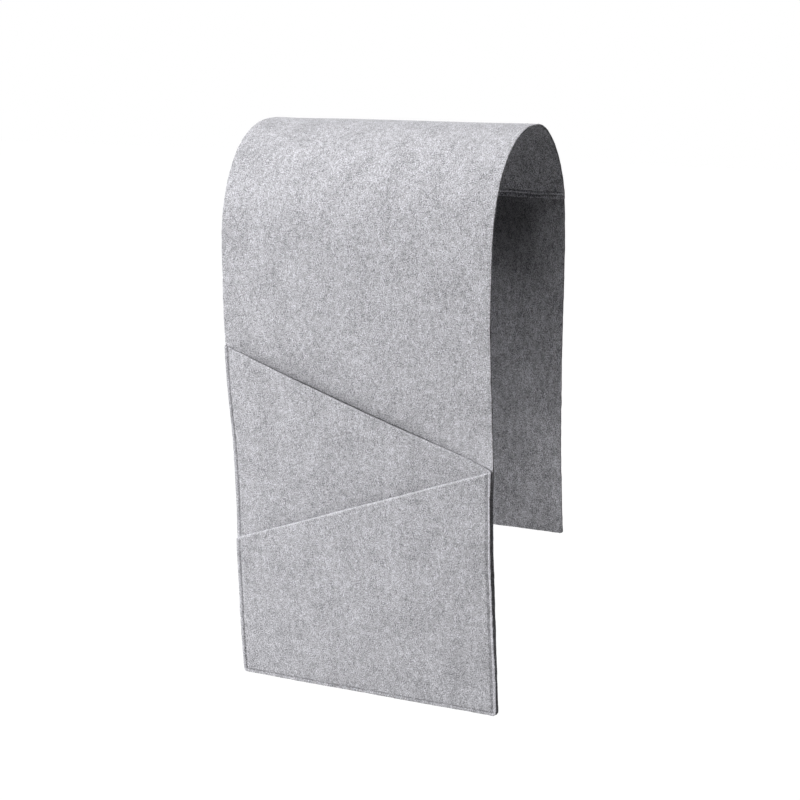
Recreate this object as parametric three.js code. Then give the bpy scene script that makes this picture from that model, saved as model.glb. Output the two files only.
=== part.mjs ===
// Felt remote control holder that hangs over an armrest, two sewn pockets in front.
// Millimetres, +Z up. X runs across the strip, -Y is the pocket side, +Y the rear side.
// The origin is the middle of the level crown, on its underside, where it lies on the armrest.
import {
  BufferGeometry,
  CubicBezierCurve,
  CurvePath,
  Float32BufferAttribute,
  Group,
  LineCurve,
  Mesh,
  MeshStandardMaterial,
  Vector2,
  Vector3,
} from 'three';

// Cloth
const strip_width = 250;
const felt_thickness = 2;
const layer_clearance = 0.3;

// Outer face of the draped strip, as reaches from the crown's middle and drops below it
const crown_flat = 12;
const front_shoulder_reach = 94;
const front_shoulder_drop = 109.5;
const front_knee_reach = 82;
const front_knee_drop = 273;
const front_hem_reach = 66;
const front_drop = 503;
const rear_shoulder_reach = 83;
const rear_shoulder_drop = 79.5;
const rear_hem_reach = 94.5;
const rear_drop = 385;

// How hard each bend of that outline is drawn, as shares of the stretch that it belongs to
const front_crown_pull_share = 0.41;
const front_shoulder_rise_share = 0.74;
const front_shoulder_fall_share = 0.34;
const front_knee_rise_share = 0.36;
const front_knee_fall_share = 0.24;
const front_hem_rise_share = 0.235;
const front_knee_lean_share = 0.16;
const front_hem_lean_share = 0.17;
const rear_crown_pull_share = 0.55;
const rear_shoulder_rise_share = 0.38;
const rear_shoulder_fall_share = 0.3;
const rear_hem_rise_share = 0.37;
const rear_hem_lean_share = 0.17;

// Flex lines, where a leg swings from the crown
const front_flex_reach = 79;
const flex_clearance = 0.3;

// Rear overlap seam: the strip's tail lies inside, the rear panel outside
const tail_drop = 69;
const seam_edge_inset = 3;
const seam_rows = 2;
const seam_row_spacing = 3.2;
const tail_to_flex = 1.5;

// Pockets, heights measured up the strip from the front hem
const upper_mouth_left = 312;
const upper_mouth_right = 223;
const lower_mouth_left = 131.5;
const lower_mouth_right = 222.5;
const hem_corner_radius = 3;
const pocket_seam_inset = 3;

// Ease of the pockets at rest, measured outwards at mid width
const strip_ease = -3;
const upper_ease = 3.5;
const lower_ease = 10;
const ease_side_margin = 6;
const ease_hem_margin = 6;
const ease_rise = 90;
const ease_fade = 90;

// Seams
const stitch_length = 4;
const thread_radius = 0.35;
const stitch_lift = 0.2;
const thread_sides = 3;
const valley_depth = 0.7;
const valley_half_width = 1.4;
const thread_end_inset = 2;

// Surface steps
const wide_columns = 6;
const drop_rows = 26;
const pocket_rows = 13;
const front_arch_rows = 8;
const rear_arch_rows = 12;
const rear_rows = 14;

const half_width = strip_width / 2;

const felt = new MeshStandardMaterial({ color: 0xc0c1c5, roughness: 0.95, metalness: 0 });
const thread = new MeshStandardMaterial({ color: 0xb2b3b8, roughness: 0.7, metalness: 0 });

// Outline in a plane: x is depth (row +Y), y is height (row +Z)
function at(depth, drop) {
  return new Vector2(depth, felt_thickness - drop);
}

function bend(start, startPull, endPull, end) {
  return new CubicBezierCurve(start, start.clone().add(startPull), end.clone().add(endPull), end);
}

function makeOutline() {
  const frontHem = at(-front_hem_reach, front_drop);
  const frontKnee = at(-front_knee_reach, front_knee_drop);
  const frontShoulder = at(-front_shoulder_reach, front_shoulder_drop);
  const crownFront = at(-crown_flat / 2, 0);
  const crownRear = at(crown_flat / 2, 0);
  const rearShoulder = at(rear_shoulder_reach, rear_shoulder_drop);
  const rearHem = at(rear_hem_reach, rear_drop);
  const pocketSpan = front_drop - front_knee_drop;
  const kneeSpan = front_knee_drop - front_shoulder_drop;
  const rearSpan = rear_drop - rear_shoulder_drop;
  const frontReach = front_shoulder_reach - crown_flat / 2;
  const rearReach = rear_shoulder_reach - crown_flat / 2;
  const outline = new CurvePath();
  const hemRise = new Vector2(-front_hem_lean_share, 1).multiplyScalar(front_hem_rise_share * pocketSpan);
  const kneeFall = new Vector2(front_knee_lean_share, -1).multiplyScalar(front_knee_fall_share * pocketSpan);
  outline.add(bend(frontHem, hemRise, kneeFall, frontKnee));
  const kneeRise = new Vector2(-front_knee_lean_share, 1).multiplyScalar(front_knee_rise_share * kneeSpan);
  const shoulderFall = new Vector2(0, -front_shoulder_fall_share * kneeSpan);
  outline.add(bend(frontKnee, kneeRise, shoulderFall, frontShoulder));
  const shoulderRise = new Vector2(0, front_shoulder_rise_share * front_shoulder_drop);
  const crownPull = new Vector2(-front_crown_pull_share * frontReach, 0);
  outline.add(bend(frontShoulder, shoulderRise, crownPull, crownFront));
  outline.add(new LineCurve(crownFront, crownRear));
  const rearPull = new Vector2(rear_crown_pull_share * rearReach, 0);
  const rearRise = new Vector2(0, rear_shoulder_rise_share * rear_shoulder_drop);
  outline.add(bend(crownRear, rearPull, rearRise, rearShoulder));
  const rearFall = new Vector2(0, -rear_shoulder_fall_share * rearSpan);
  const rearHemRise = new Vector2(-rear_hem_lean_share, 1).multiplyScalar(rear_hem_rise_share * rearSpan);
  outline.add(bend(rearShoulder, rearFall, rearHemRise, rearHem));
  return outline;
}

const outline = makeOutline();
const outline_lengths = outline.getCurveLengths();
const outline_length = outline.getLength();
const crown_start = outline_lengths[2];
const crown_end = outline_lengths[3];
const rear_shoulder_station = outline_lengths[4];

// Point and outward normal of the outline at a distance along it from the front hem
function outlineFrame(station) {
  const share = Math.min(Math.max(station / outline_length, 0), 1);
  const point = outline.getPoint(share);
  const tangent = outline.getTangent(share);
  return { point, tangent, normal: new Vector2(-tangent.y, tangent.x) };
}

// Point of the cloth: across the strip, along it from the front hem, and out from its outer face
function clothPoint(across, station, out) {
  const { point, normal } = outlineFrame(station);
  return new Vector3(across, point.x + normal.x * out, point.y + normal.y * out);
}

// Distance along the outline, between two stations, at which a test of its points first fails
function stationWhere(start, end, holds) {
  let low = start;
  let high = end;
  while (high - low > felt_thickness * 1e-6) {
    const middle = (low + high) / 2;
    if (holds(outline.getPoint(middle / outline_length))) {
      low = middle;
    } else {
      high = middle;
    }
  }
  return (low + high) / 2;
}

const front_shoulder_station = outline_lengths[1];
const front_flex_station = stationWhere(front_shoulder_station, crown_start, (point) => point.x < -front_flex_reach);
const tail_height = felt_thickness - tail_drop;
const tail_end = stationWhere(crown_end, rear_shoulder_station, (point) => point.y > tail_height);
const seam_overlap = 2 * seam_edge_inset + (seam_rows - 1) * seam_row_spacing;
const rear_panel_start = tail_end - seam_overlap;
const rear_flex_station = tail_end + tail_to_flex;
const rear_panel_out = felt_thickness + layer_clearance;

function smooth(value) {
  const t = Math.min(Math.max(value, 0), 1);
  return t * t * (3 - 2 * t);
}

// Rounded hem corners lift the hem line near both sides
function hemLift(across) {
  const inward = Math.min(half_width - Math.abs(across), hem_corner_radius);
  const side = hem_corner_radius - inward;
  return hem_corner_radius - Math.sqrt(hem_corner_radius ** 2 - side ** 2);
}

function mouthAt(across, left, right) {
  return left + (right - left) * (across / strip_width + 0.5);
}

// Ease share: none at the side seams and the hem, full at mid width
function easeShare(across, station) {
  const reach = half_width - ease_side_margin;
  const side = Math.max(1 - (across / reach) ** 2, 0);
  return side * smooth((station - ease_hem_margin) / ease_rise);
}

function stripEase(across, station) {
  const mouth = mouthAt(across, upper_mouth_left, upper_mouth_right);
  return strip_ease * easeShare(across, station) * (1 - smooth((station - mouth) / ease_fade));
}

const upper_out = layer_clearance;
const lower_out = upper_out + felt_thickness + layer_clearance;

const seam_across = half_width - pocket_seam_inset;

function near(value, target) {
  return Math.abs(value - target) < valley_half_width * 1e-3;
}

// Depth of the stitched valley of the pocket seam at a grid point
function pocketValley(across, height, top) {
  const onSide = near(Math.abs(across), seam_across);
  const onHem = near(height, pocket_seam_inset) && Math.abs(across) <= seam_across + layer_clearance;
  const inside = height >= pocket_seam_inset - layer_clearance && height < top;
  return (onSide || onHem) && inside ? valley_depth : 0;
}

// Columns across the cloth, with the seam valleys at both sides
function seamColumns() {
  const columns = [-half_width, -seam_across - valley_half_width, -seam_across, -seam_across + valley_half_width];
  const first = -seam_across + valley_half_width;
  for (let i = 1; i < wide_columns; i++) {
    columns.push(first * (1 - (2 * i) / wide_columns));
  }
  return columns.concat(columns.slice(0, 4).reverse().map((column) => -column));
}

function plainColumns() {
  const columns = [];
  for (let i = 0; i <= wide_columns; i++) {
    columns.push(half_width * ((2 * i) / wide_columns - 1));
  }
  return columns;
}

function spread(start, end, count) {
  const rows = [];
  for (let i = 0; i <= count; i++) {
    rows.push(start + ((end - start) * i) / count);
  }
  return rows;
}

// Rows up from the hem, the first ones holding the hem seam's valley
function hemRows(end, count) {
  const valleyTop = pocket_seam_inset + valley_half_width;
  return [0, pocket_seam_inset - valley_half_width, pocket_seam_inset].concat(spread(valleyTop, end, count));
}

// Closed sheet: grid(i, j, side) gives its points, side 1 the outer face and 0 the inner one
function sheetGeometry(columnCount, rowCount, grid) {
  const positions = [];
  const indices = [];
  const index = (i, j, side) => (side * rowCount + j) * columnCount + i;
  for (let side = 0; side < 2; side++) {
    for (let j = 0; j < rowCount; j++) {
      for (let i = 0; i < columnCount; i++) {
        positions.push(...grid(i, j, side).toArray());
      }
    }
  }
  const quad = (a, b, c, d) => indices.push(a, b, c, a, c, d);
  for (let j = 0; j + 1 < rowCount; j++) {
    for (let i = 0; i + 1 < columnCount; i++) {
      quad(index(i, j, 1), index(i + 1, j, 1), index(i + 1, j + 1, 1), index(i, j + 1, 1));
      quad(index(i, j, 0), index(i, j + 1, 0), index(i + 1, j + 1, 0), index(i + 1, j, 0));
    }
    const last = columnCount - 1;
    quad(index(0, j, 0), index(0, j, 1), index(0, j + 1, 1), index(0, j + 1, 0));
    quad(index(last, j, 0), index(last, j + 1, 0), index(last, j + 1, 1), index(last, j, 1));
  }
  for (let i = 0; i + 1 < columnCount; i++) {
    const top = rowCount - 1;
    quad(index(i, 0, 0), index(i + 1, 0, 0), index(i + 1, 0, 1), index(i, 0, 1));
    quad(index(i, top, 0), index(i, top, 1), index(i + 1, top, 1), index(i + 1, top, 0));
  }
  const geometry = new BufferGeometry();
  geometry.setAttribute('position', new Float32BufferAttribute(positions, 3));
  geometry.setIndex(indices);
  geometry.computeVertexNormals();
  return geometry;
}

// Thread: a closed strand through points, each with the outward direction of the cloth there
function strandGeometry(points, outwards) {
  const positions = [];
  const indices = [];
  const count = points.length;
  points.forEach((point, i) => {
    const before = points[Math.max(i - 1, 0)];
    const after = points[Math.min(i + 1, count - 1)];
    const along = after.clone().sub(before).normalize();
    const across = along.clone().cross(outwards[i]).normalize();
    const out = across.clone().cross(along);
    for (let k = 0; k < thread_sides; k++) {
      const angle = Math.PI * ((2 * k + 1) / thread_sides);
      const corner = point.clone();
      corner.addScaledVector(across, Math.sin(angle) * thread_radius);
      corner.addScaledVector(out, -Math.cos(angle) * thread_radius);
      positions.push(...corner.toArray());
    }
  });
  for (let i = 0; i + 1 < count; i++) {
    for (let k = 0; k < thread_sides; k++) {
      const a = i * thread_sides + k;
      const b = i * thread_sides + ((k + 1) % thread_sides);
      indices.push(a, b + thread_sides, b, a, a + thread_sides, b + thread_sides);
    }
  }
  for (let k = 1; k + 1 < thread_sides; k++) {
    const last = (count - 1) * thread_sides;
    indices.push(0, k, k + 1, last, last + k + 1, last + k);
  }
  const geometry = new BufferGeometry();
  geometry.setAttribute('position', new Float32BufferAttribute(positions, 3));
  geometry.setIndex(indices);
  geometry.computeVertexNormals();
  return geometry;
}

// Seam route: corners as [across, station], stitched in whole stitches at a height over the cloth
function seamStrand(corners, out, outSign) {
  const points = [];
  const outwards = [];
  const rise = out + outSign * stitch_lift;
  const place = (across, station, height) => {
    points.push(clothPoint(across, station, height));
    const { normal } = outlineFrame(station);
    outwards.push(new Vector3(0, normal.x * outSign, normal.y * outSign));
  };
  for (let leg = 0; leg + 1 < corners.length; leg++) {
    const [fromAcross, fromStation] = corners[leg];
    const [toAcross, toStation] = corners[leg + 1];
    const length = Math.hypot(toAcross - fromAcross, toStation - fromStation);
    const stitches = Math.max(Math.round(length / stitch_length), 1);
    for (let i = 0; i < stitches; i++) {
      const start = i / stitches;
      const middle = (i + 0.5) / stitches;
      place(fromAcross + (toAcross - fromAcross) * start, fromStation + (toStation - fromStation) * start, out);
      place(fromAcross + (toAcross - fromAcross) * middle, fromStation + (toStation - fromStation) * middle, rise);
    }
  }
  const [endAcross, endStation] = corners[corners.length - 1];
  place(endAcross, endStation, out);
  return strandGeometry(points, outwards);
}

// Height of a thread's middle over a stitched face, lying in its valley
const thread_seat = thread_radius + layer_clearance - valley_depth;

const holder = new Group();

function addPiece(name, geometry, material) {
  const mesh = new Mesh(geometry, material);
  mesh.name = name;
  holder.add(mesh);
}

// Stations of the rear seam: the panel's head, the two valleys and the tail's end
function seamRowStation(row) {
  return rear_panel_start + seam_edge_inset + row * seam_row_spacing;
}

function seamStations() {
  const stations = [rear_panel_start];
  for (let row = 0; row < seam_rows; row++) {
    const middle = seamRowStation(row);
    stations.push(middle - valley_half_width, middle, middle + valley_half_width);
  }
  stations.push(tail_end);
  return stations;
}

function isSeamRow(station) {
  for (let row = 0; row < seam_rows; row++) {
    if (near(station, seamRowStation(row))) {
      return true;
    }
  }
  return false;
}

// Crown and arch of the main strip, from the front flex line to the tail inside the rear panel
function stripSaddle() {
  const columns = plainColumns();
  const front = spread(front_flex_station + flex_clearance / 2, crown_start, front_arch_rows);
  const rear = spread(crown_end, rear_panel_start, rear_arch_rows).slice(0, -1);
  const stations = front.concat(rear, seamStations());
  return sheetGeometry(columns.length, stations.length, (i, j, side) => {
    const valley = side === 0 && isSeamRow(stations[j]) ? valley_depth : 0;
    return clothPoint(columns[i], stations[j], side ? 0 : valley - felt_thickness);
  });
}

// Front leg of the main strip, behind the pockets
function stripFrontDrop() {
  const columns = seamColumns();
  const rows = hemRows(front_flex_station - flex_clearance / 2, drop_rows);
  const end = rows[rows.length - 1];
  const step = end - rows[rows.length - 2];
  return sheetGeometry(columns.length, rows.length, (i, j, side) => {
    const across = columns[i];
    const station = rows[j] + hemLift(across) * (1 - rows[j] / end);
    const top = mouthAt(across, upper_mouth_left, upper_mouth_right);
    const valley = side ? 0 : pocketValley(across, rows[j], top + step);
    const ease = stripEase(across, station);
    return clothPoint(across, station, ease + (side ? 0 : valley - felt_thickness));
  });
}

// A pocket panel: its hem and sides are sewn down and its mouth is a slanted cut
function pocketPanel(out, ease, mouthLeft, mouthRight, valleyAt) {
  const columns = seamColumns();
  const rowCount = hemRows(mouthLeft, pocket_rows).length;
  return sheetGeometry(columns.length, rowCount, (i, j, side) => {
    const across = columns[i];
    const mouth = mouthAt(across, mouthLeft, mouthRight);
    const row = hemRows(mouth, pocket_rows)[j];
    const station = row + hemLift(across) * (1 - row / mouth);
    const valley = side ? valleyAt(across, row, mouth) : 0;
    const own = ease * easeShare(across, station);
    return clothPoint(across, station, out + own + (side ? felt_thickness - valley : 0));
  });
}

function upperPocketPanel() {
  const valleyAt = (across, height, mouth) => {
    const covered = mouthAt(across, lower_mouth_left, lower_mouth_right);
    const open = across < 0 && height > covered;
    return open ? pocketValley(across, height, mouth + valley_half_width) : 0;
  };
  return pocketPanel(upper_out, upper_ease, upper_mouth_left, upper_mouth_right, valleyAt);
}

function lowerPocketPanel() {
  const valleyAt = (across, height, mouth) => pocketValley(across, height, mouth + valley_half_width);
  return pocketPanel(lower_out, lower_ease, lower_mouth_left, lower_mouth_right, valleyAt);
}

// Head of the rear panel, sewn over the strip's tail
function rearPanelSeamBand() {
  const columns = plainColumns();
  const stations = seamStations().concat(rear_flex_station - flex_clearance / 2);
  return sheetGeometry(columns.length, stations.length, (i, j, side) => {
    const valley = side && isSeamRow(stations[j]) ? valley_depth : 0;
    return clothPoint(columns[i], stations[j], rear_panel_out - valley - (side ? 0 : felt_thickness));
  });
}

// Rear panel below its flex line
function rearPanelDrop() {
  const columns = plainColumns();
  const stations = spread(rear_flex_station + flex_clearance / 2, outline_length, rear_rows);
  return sheetGeometry(columns.length, stations.length, (i, j, side) => {
    return clothPoint(columns[i], stations[j], rear_panel_out - (side ? 0 : felt_thickness));
  });
}

// Needle thread on the lower panel: down the left side, along the hem and up the right side
function lowerPocketNeedleThread() {
  const left = lower_mouth_left - thread_end_inset;
  const right = lower_mouth_right - thread_end_inset;
  return seamStrand(pocketSeamRoute(left, right), lower_out + felt_thickness + thread_seat, 1);
}

// Its upper stretch, on the left side between the two mouths
function upperPocketNeedleThread() {
  const top = upper_mouth_left - thread_end_inset;
  const bottom = lower_mouth_left + thread_end_inset;
  const route = [[-seam_across, top], [-seam_across, bottom]];
  return seamStrand(route, upper_out + felt_thickness + thread_seat, 1);
}

// Bobbin thread of the same seam, on the back of the strip
function pocketBobbinThread() {
  const left = upper_mouth_left - thread_end_inset;
  const right = upper_mouth_right - thread_end_inset;
  return seamStrand(pocketSeamRoute(left, right), -felt_thickness - thread_seat, -1);
}

function pocketSeamRoute(left, right) {
  return [
    [-seam_across, left],
    [-seam_across, pocket_seam_inset],
    [seam_across, pocket_seam_inset],
    [seam_across, right],
  ];
}

// Rear seam threads: the needle's lie outside on the panel, the bobbin's inside on the tail
function rearSeamThread(row, outside) {
  const end = half_width - thread_end_inset;
  const station = seamRowStation(row);
  const route = [[-end, station], [end, station]];
  if (outside) {
    return seamStrand(route, rear_panel_out + thread_seat, 1);
  }
  return seamStrand(route, -felt_thickness - thread_seat, -1);
}

addPiece('strip_saddle', stripSaddle(), felt);
addPiece('strip_front_drop', stripFrontDrop(), felt);
addPiece('upper_pocket_panel', upperPocketPanel(), felt);
addPiece('lower_pocket_panel', lowerPocketPanel(), felt);
addPiece('rear_panel_seam_band', rearPanelSeamBand(), felt);
addPiece('rear_panel_drop', rearPanelDrop(), felt);
addPiece('lower_pocket_needle_thread', lowerPocketNeedleThread(), thread);
addPiece('upper_pocket_needle_thread', upperPocketNeedleThread(), thread);
addPiece('pocket_bobbin_thread', pocketBobbinThread(), thread);
const seam_row_names = ['upper', 'lower'];
seam_row_names.forEach((name, row) => {
  addPiece(`rear_seam_${name}_needle_thread`, rearSeamThread(row, true), thread);
  addPiece(`rear_seam_${name}_bobbin_thread`, rearSeamThread(row, false), thread);
});

export default holder;
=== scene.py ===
"""A felt remote control holder for an armrest: a draped strip, two sewn pockets and a shorter rear leg.

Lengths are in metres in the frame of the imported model: +Z up, X across the strip, -Y the pocket side.
Every sheet is cut flat in cloth coordinates (across, station, out). Station runs along the strip from
the front hem, and out is the height over the strip's outer face. The flat sheet is then draped.
"""
import logging
import math
from dataclasses import dataclass, replace
from enum import Enum
from functools import cached_property

import bmesh
import bpy
import numpy as np
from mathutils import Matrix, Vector


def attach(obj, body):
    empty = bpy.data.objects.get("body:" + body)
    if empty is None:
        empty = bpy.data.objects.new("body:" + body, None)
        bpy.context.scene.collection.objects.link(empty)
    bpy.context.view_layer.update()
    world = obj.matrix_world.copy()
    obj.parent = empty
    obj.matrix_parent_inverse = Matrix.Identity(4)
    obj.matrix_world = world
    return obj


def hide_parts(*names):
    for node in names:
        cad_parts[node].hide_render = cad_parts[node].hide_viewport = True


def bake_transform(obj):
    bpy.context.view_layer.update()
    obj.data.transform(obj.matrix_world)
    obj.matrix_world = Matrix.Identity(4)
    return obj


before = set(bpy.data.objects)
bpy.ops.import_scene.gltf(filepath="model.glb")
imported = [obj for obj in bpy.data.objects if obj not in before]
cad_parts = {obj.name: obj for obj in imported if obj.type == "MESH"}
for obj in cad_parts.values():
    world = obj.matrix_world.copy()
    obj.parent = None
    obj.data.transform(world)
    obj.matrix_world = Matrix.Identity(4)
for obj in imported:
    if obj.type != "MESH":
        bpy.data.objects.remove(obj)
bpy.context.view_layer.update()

MM = 0.001
SMOOTH_ANGLE = math.radians(50)
WAVE_SPREAD = (0.6, 1.6)
MERGE_DISTANCE = 1e-6
SMALLEST_AREA = 1e-12
SPIKE_FACES = ((2, 1, 0), (0, 1, 4, 3), (1, 2, 5, 4), (2, 0, 3, 5), (3, 4, 6), (4, 5, 6), (5, 3, 6))
SPIKE_POINTS = 7
log = logging.getLogger("holder")


class Side(Enum):
    """The two faces of a felt sheet."""

    OUTER = "outer"
    INNER = "inner"


class Half(Enum):
    """The two halves of a piece that is sewn down at both sides, by the sign of their across values."""

    LEFT = -1
    RIGHT = 1


@dataclass(frozen=True)
class Pattern:
    """The maker's cutting and sewing sizes, shared by all the sheets."""

    width: float = 250 * MM
    thickness: float = 2 * MM
    ply_gap: float = 0.1 * MM
    hem_corner: float = 2.8 * MM
    corner_drop: float = 1.8 * MM
    corner_drop_reach: float = 14 * MM
    rim_radius: float = 0.45 * MM
    seam_inset: float = 3 * MM
    stitch: float = 4 * MM
    stitch_depth: float = 1.05 * MM
    lip_reach: float = 1.8 * MM
    lip_roll: float = 1.1 * MM
    stray_reach: float = 16 * MM
    tail_curl: float = 0.6 * MM
    tail_curl_reach: float = 2.6 * MM
    fine_step: float = 0.45 * MM
    fan_lines: int = 4
    widening: tuple[float, ...] = (2.0, 3.5, 6.0)
    stitched_step: float = 1 * MM
    plain_step: float = 5 * MM
    arch_step: float = 2.9 * MM
    rear_seam_step: float = 0.65 * MM
    rear_leg_step: float = 3.6 * MM
    crosswise_cuts: int = 3
    lip_rows: int = 8
    row_end: float = 2 * MM
    tail_drop: float = 69 * MM
    rear_row_inset: float = 3 * MM
    rear_row_spacing: float = 3.2 * MM
    rear_row_count: int = 2
    rear_wander: float = 0.5 * MM
    rear_slant: float = 0.8 * MM
    rear_bank: float = 0.95 * MM
    ripple: float = 0.35 * MM
    ripple_length: float = 110 * MM
    ripple_seed: int = 7
    fray: float = 0.11 * MM
    fray_length: float = 5 * MM
    fray_waves: tuple[tuple[float, float], ...] = ((1.0, 0.55), (3.1, 1.0))
    fray_reach: float = 1.6 * MM
    # How much the painted highlight calms the grain.
    brushed_calm: float = 0.8
    # Painted shade on the cut side edges: its share beside the pockets, and its start and reach on the
    # rear side.
    painted_edge_shade_share: float = 0.69
    rear_shade_start: float = 570 * MM
    rear_shade_reach: float = 60 * MM

    @property
    def half_width(self) -> float:
        """Half the strip's width."""
        return self.width / 2

    @property
    def seam_across(self) -> float:
        """How far from the middle the side seams lie."""
        return self.half_width - self.seam_inset

    @property
    def rear_overlap(self) -> float:
        """How far the rear panel laps over the strip's tail."""
        return 2 * self.rear_row_inset + (self.rear_row_count - 1) * self.rear_row_spacing

    @property
    def fan(self) -> np.ndarray:
        """How far from a cut edge the close grid lines about its seam lie."""
        return self.seam_inset + self.fine_step * np.arange(-self.fan_lines, self.fan_lines + 1)


def smooth(value: np.ndarray) -> np.ndarray:
    """Smooth step.

    Args:
        value: Shares, cut off below 0 and above 1.

    Returns:
        The eased shares.
    """
    t = np.clip(value, 0.0, 1.0)
    return t * t * (3 - 2 * t)


def waves(places: np.ndarray, length: float, seed: int, count: int = 12) -> np.ndarray:
    """Smooth seeded ripples over flat places.

    Args:
        places: Points as rows of two coordinates, in metres.
        length: The middle wavelength, in metres.
        seed: Chooses the directions and phases of the waves.
        count: How many waves are added up.

    Returns:
        One value for each point, mostly between -1 and 1.
    """
    chance = np.random.default_rng(seed)
    turns = chance.uniform(0, 2 * math.pi, count)
    numbers = 2 * math.pi / length * chance.uniform(*WAVE_SPREAD, count)
    phases = chance.uniform(0, 2 * math.pi, count)
    steps = np.stack([np.cos(turns), np.sin(turns)]) * numbers
    return np.cos(places @ steps + phases).sum(1) / math.sqrt(count)


def coordinates(obj: bpy.types.Object) -> np.ndarray:
    """Reads an object's vertices.

    Args:
        obj: A mesh object.

    Returns:
        Its coordinates as rows of three.
    """
    values = np.empty(len(obj.data.vertices) * 3)
    obj.data.vertices.foreach_get("co", values)
    return values.reshape(-1, 3)


def move_vertices(obj: bpy.types.Object, places: np.ndarray) -> None:
    """Writes an object's vertices.

    Args:
        obj: A mesh object.
        places: Its new coordinates as rows of three.
    """
    obj.data.vertices.foreach_set("co", places.astype(np.float32).ravel())
    obj.data.update()


def store(obj: bpy.types.Object, name: str, values: np.ndarray) -> None:
    """Keeps a value or a vector for each vertex, for the finishes to read.

    Args:
        obj: A mesh object.
        name: The attribute's name.
        values: One number or one row of three for each vertex.
    """
    vector = values.ndim == 2
    attribute = obj.data.attributes.new(name, "FLOAT_VECTOR" if vector else "FLOAT", "POINT")
    attribute.data.foreach_set("vector" if vector else "value", values.astype(np.float32).ravel())


def recall(obj: bpy.types.Object, name: str, width: int) -> np.ndarray:
    """Reads back what store kept.

    Args:
        obj: A mesh object.
        name: The attribute's name.
        width: 3 for vectors, and 1 for numbers.

    Returns:
        The values, as rows where they are vectors.
    """
    values = np.empty(len(obj.data.vertices) * width)
    obj.data.attributes[name].data.foreach_get("vector" if width == 3 else "value", values)
    return values.reshape(-1, width) if width == 3 else values


def make_active(obj: bpy.types.Object) -> None:
    """Selects one object alone, for the operators."""
    bpy.ops.object.select_all(action="DESELECT")
    obj.select_set(True)
    bpy.context.view_layer.objects.active = obj


def shade_smooth(obj: bpy.types.Object) -> None:
    """Shades an object smooth, apart from its sharp edges."""
    make_active(obj)
    bpy.ops.object.shade_smooth_by_angle(angle=SMOOTH_ANGLE)


def apply_modifier(obj: bpy.types.Object, kind: str, **settings: object) -> None:
    """Adds a modifier with its settings and applies it.

    Args:
        obj: The object it shapes.
        kind: Blender's name of the modifier type.
        settings: The modifier's properties.
    """
    make_active(obj)
    modifier = obj.modifiers.new(kind.lower(), kind)
    for key, value in settings.items():
        setattr(modifier, key, value)
    bpy.ops.object.modifier_apply(modifier=modifier.name)


def mesh_object(name: str, points: np.ndarray, faces: list[tuple[int, ...]]) -> bpy.types.Object:
    """Makes an object of its own mesh, at the origin.

    Args:
        name: The object's name.
        points: Vertices as rows of three.
        faces: The vertex numbers of each face.

    Returns:
        The new object, linked to the scene.
    """
    mesh = bpy.data.meshes.new(name)
    mesh.from_pydata(points.tolist(), [], faces)
    mesh.validate()
    obj = bpy.data.objects.new(name, mesh)
    bpy.context.scene.collection.objects.link(obj)
    return obj


@dataclass(frozen=True)
class LineTable:
    """A curve as close samples: distance along it, depth (row +Y), height (row +Z) and heading."""

    station: np.ndarray
    depth: np.ndarray
    height: np.ndarray
    heading: np.ndarray


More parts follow.
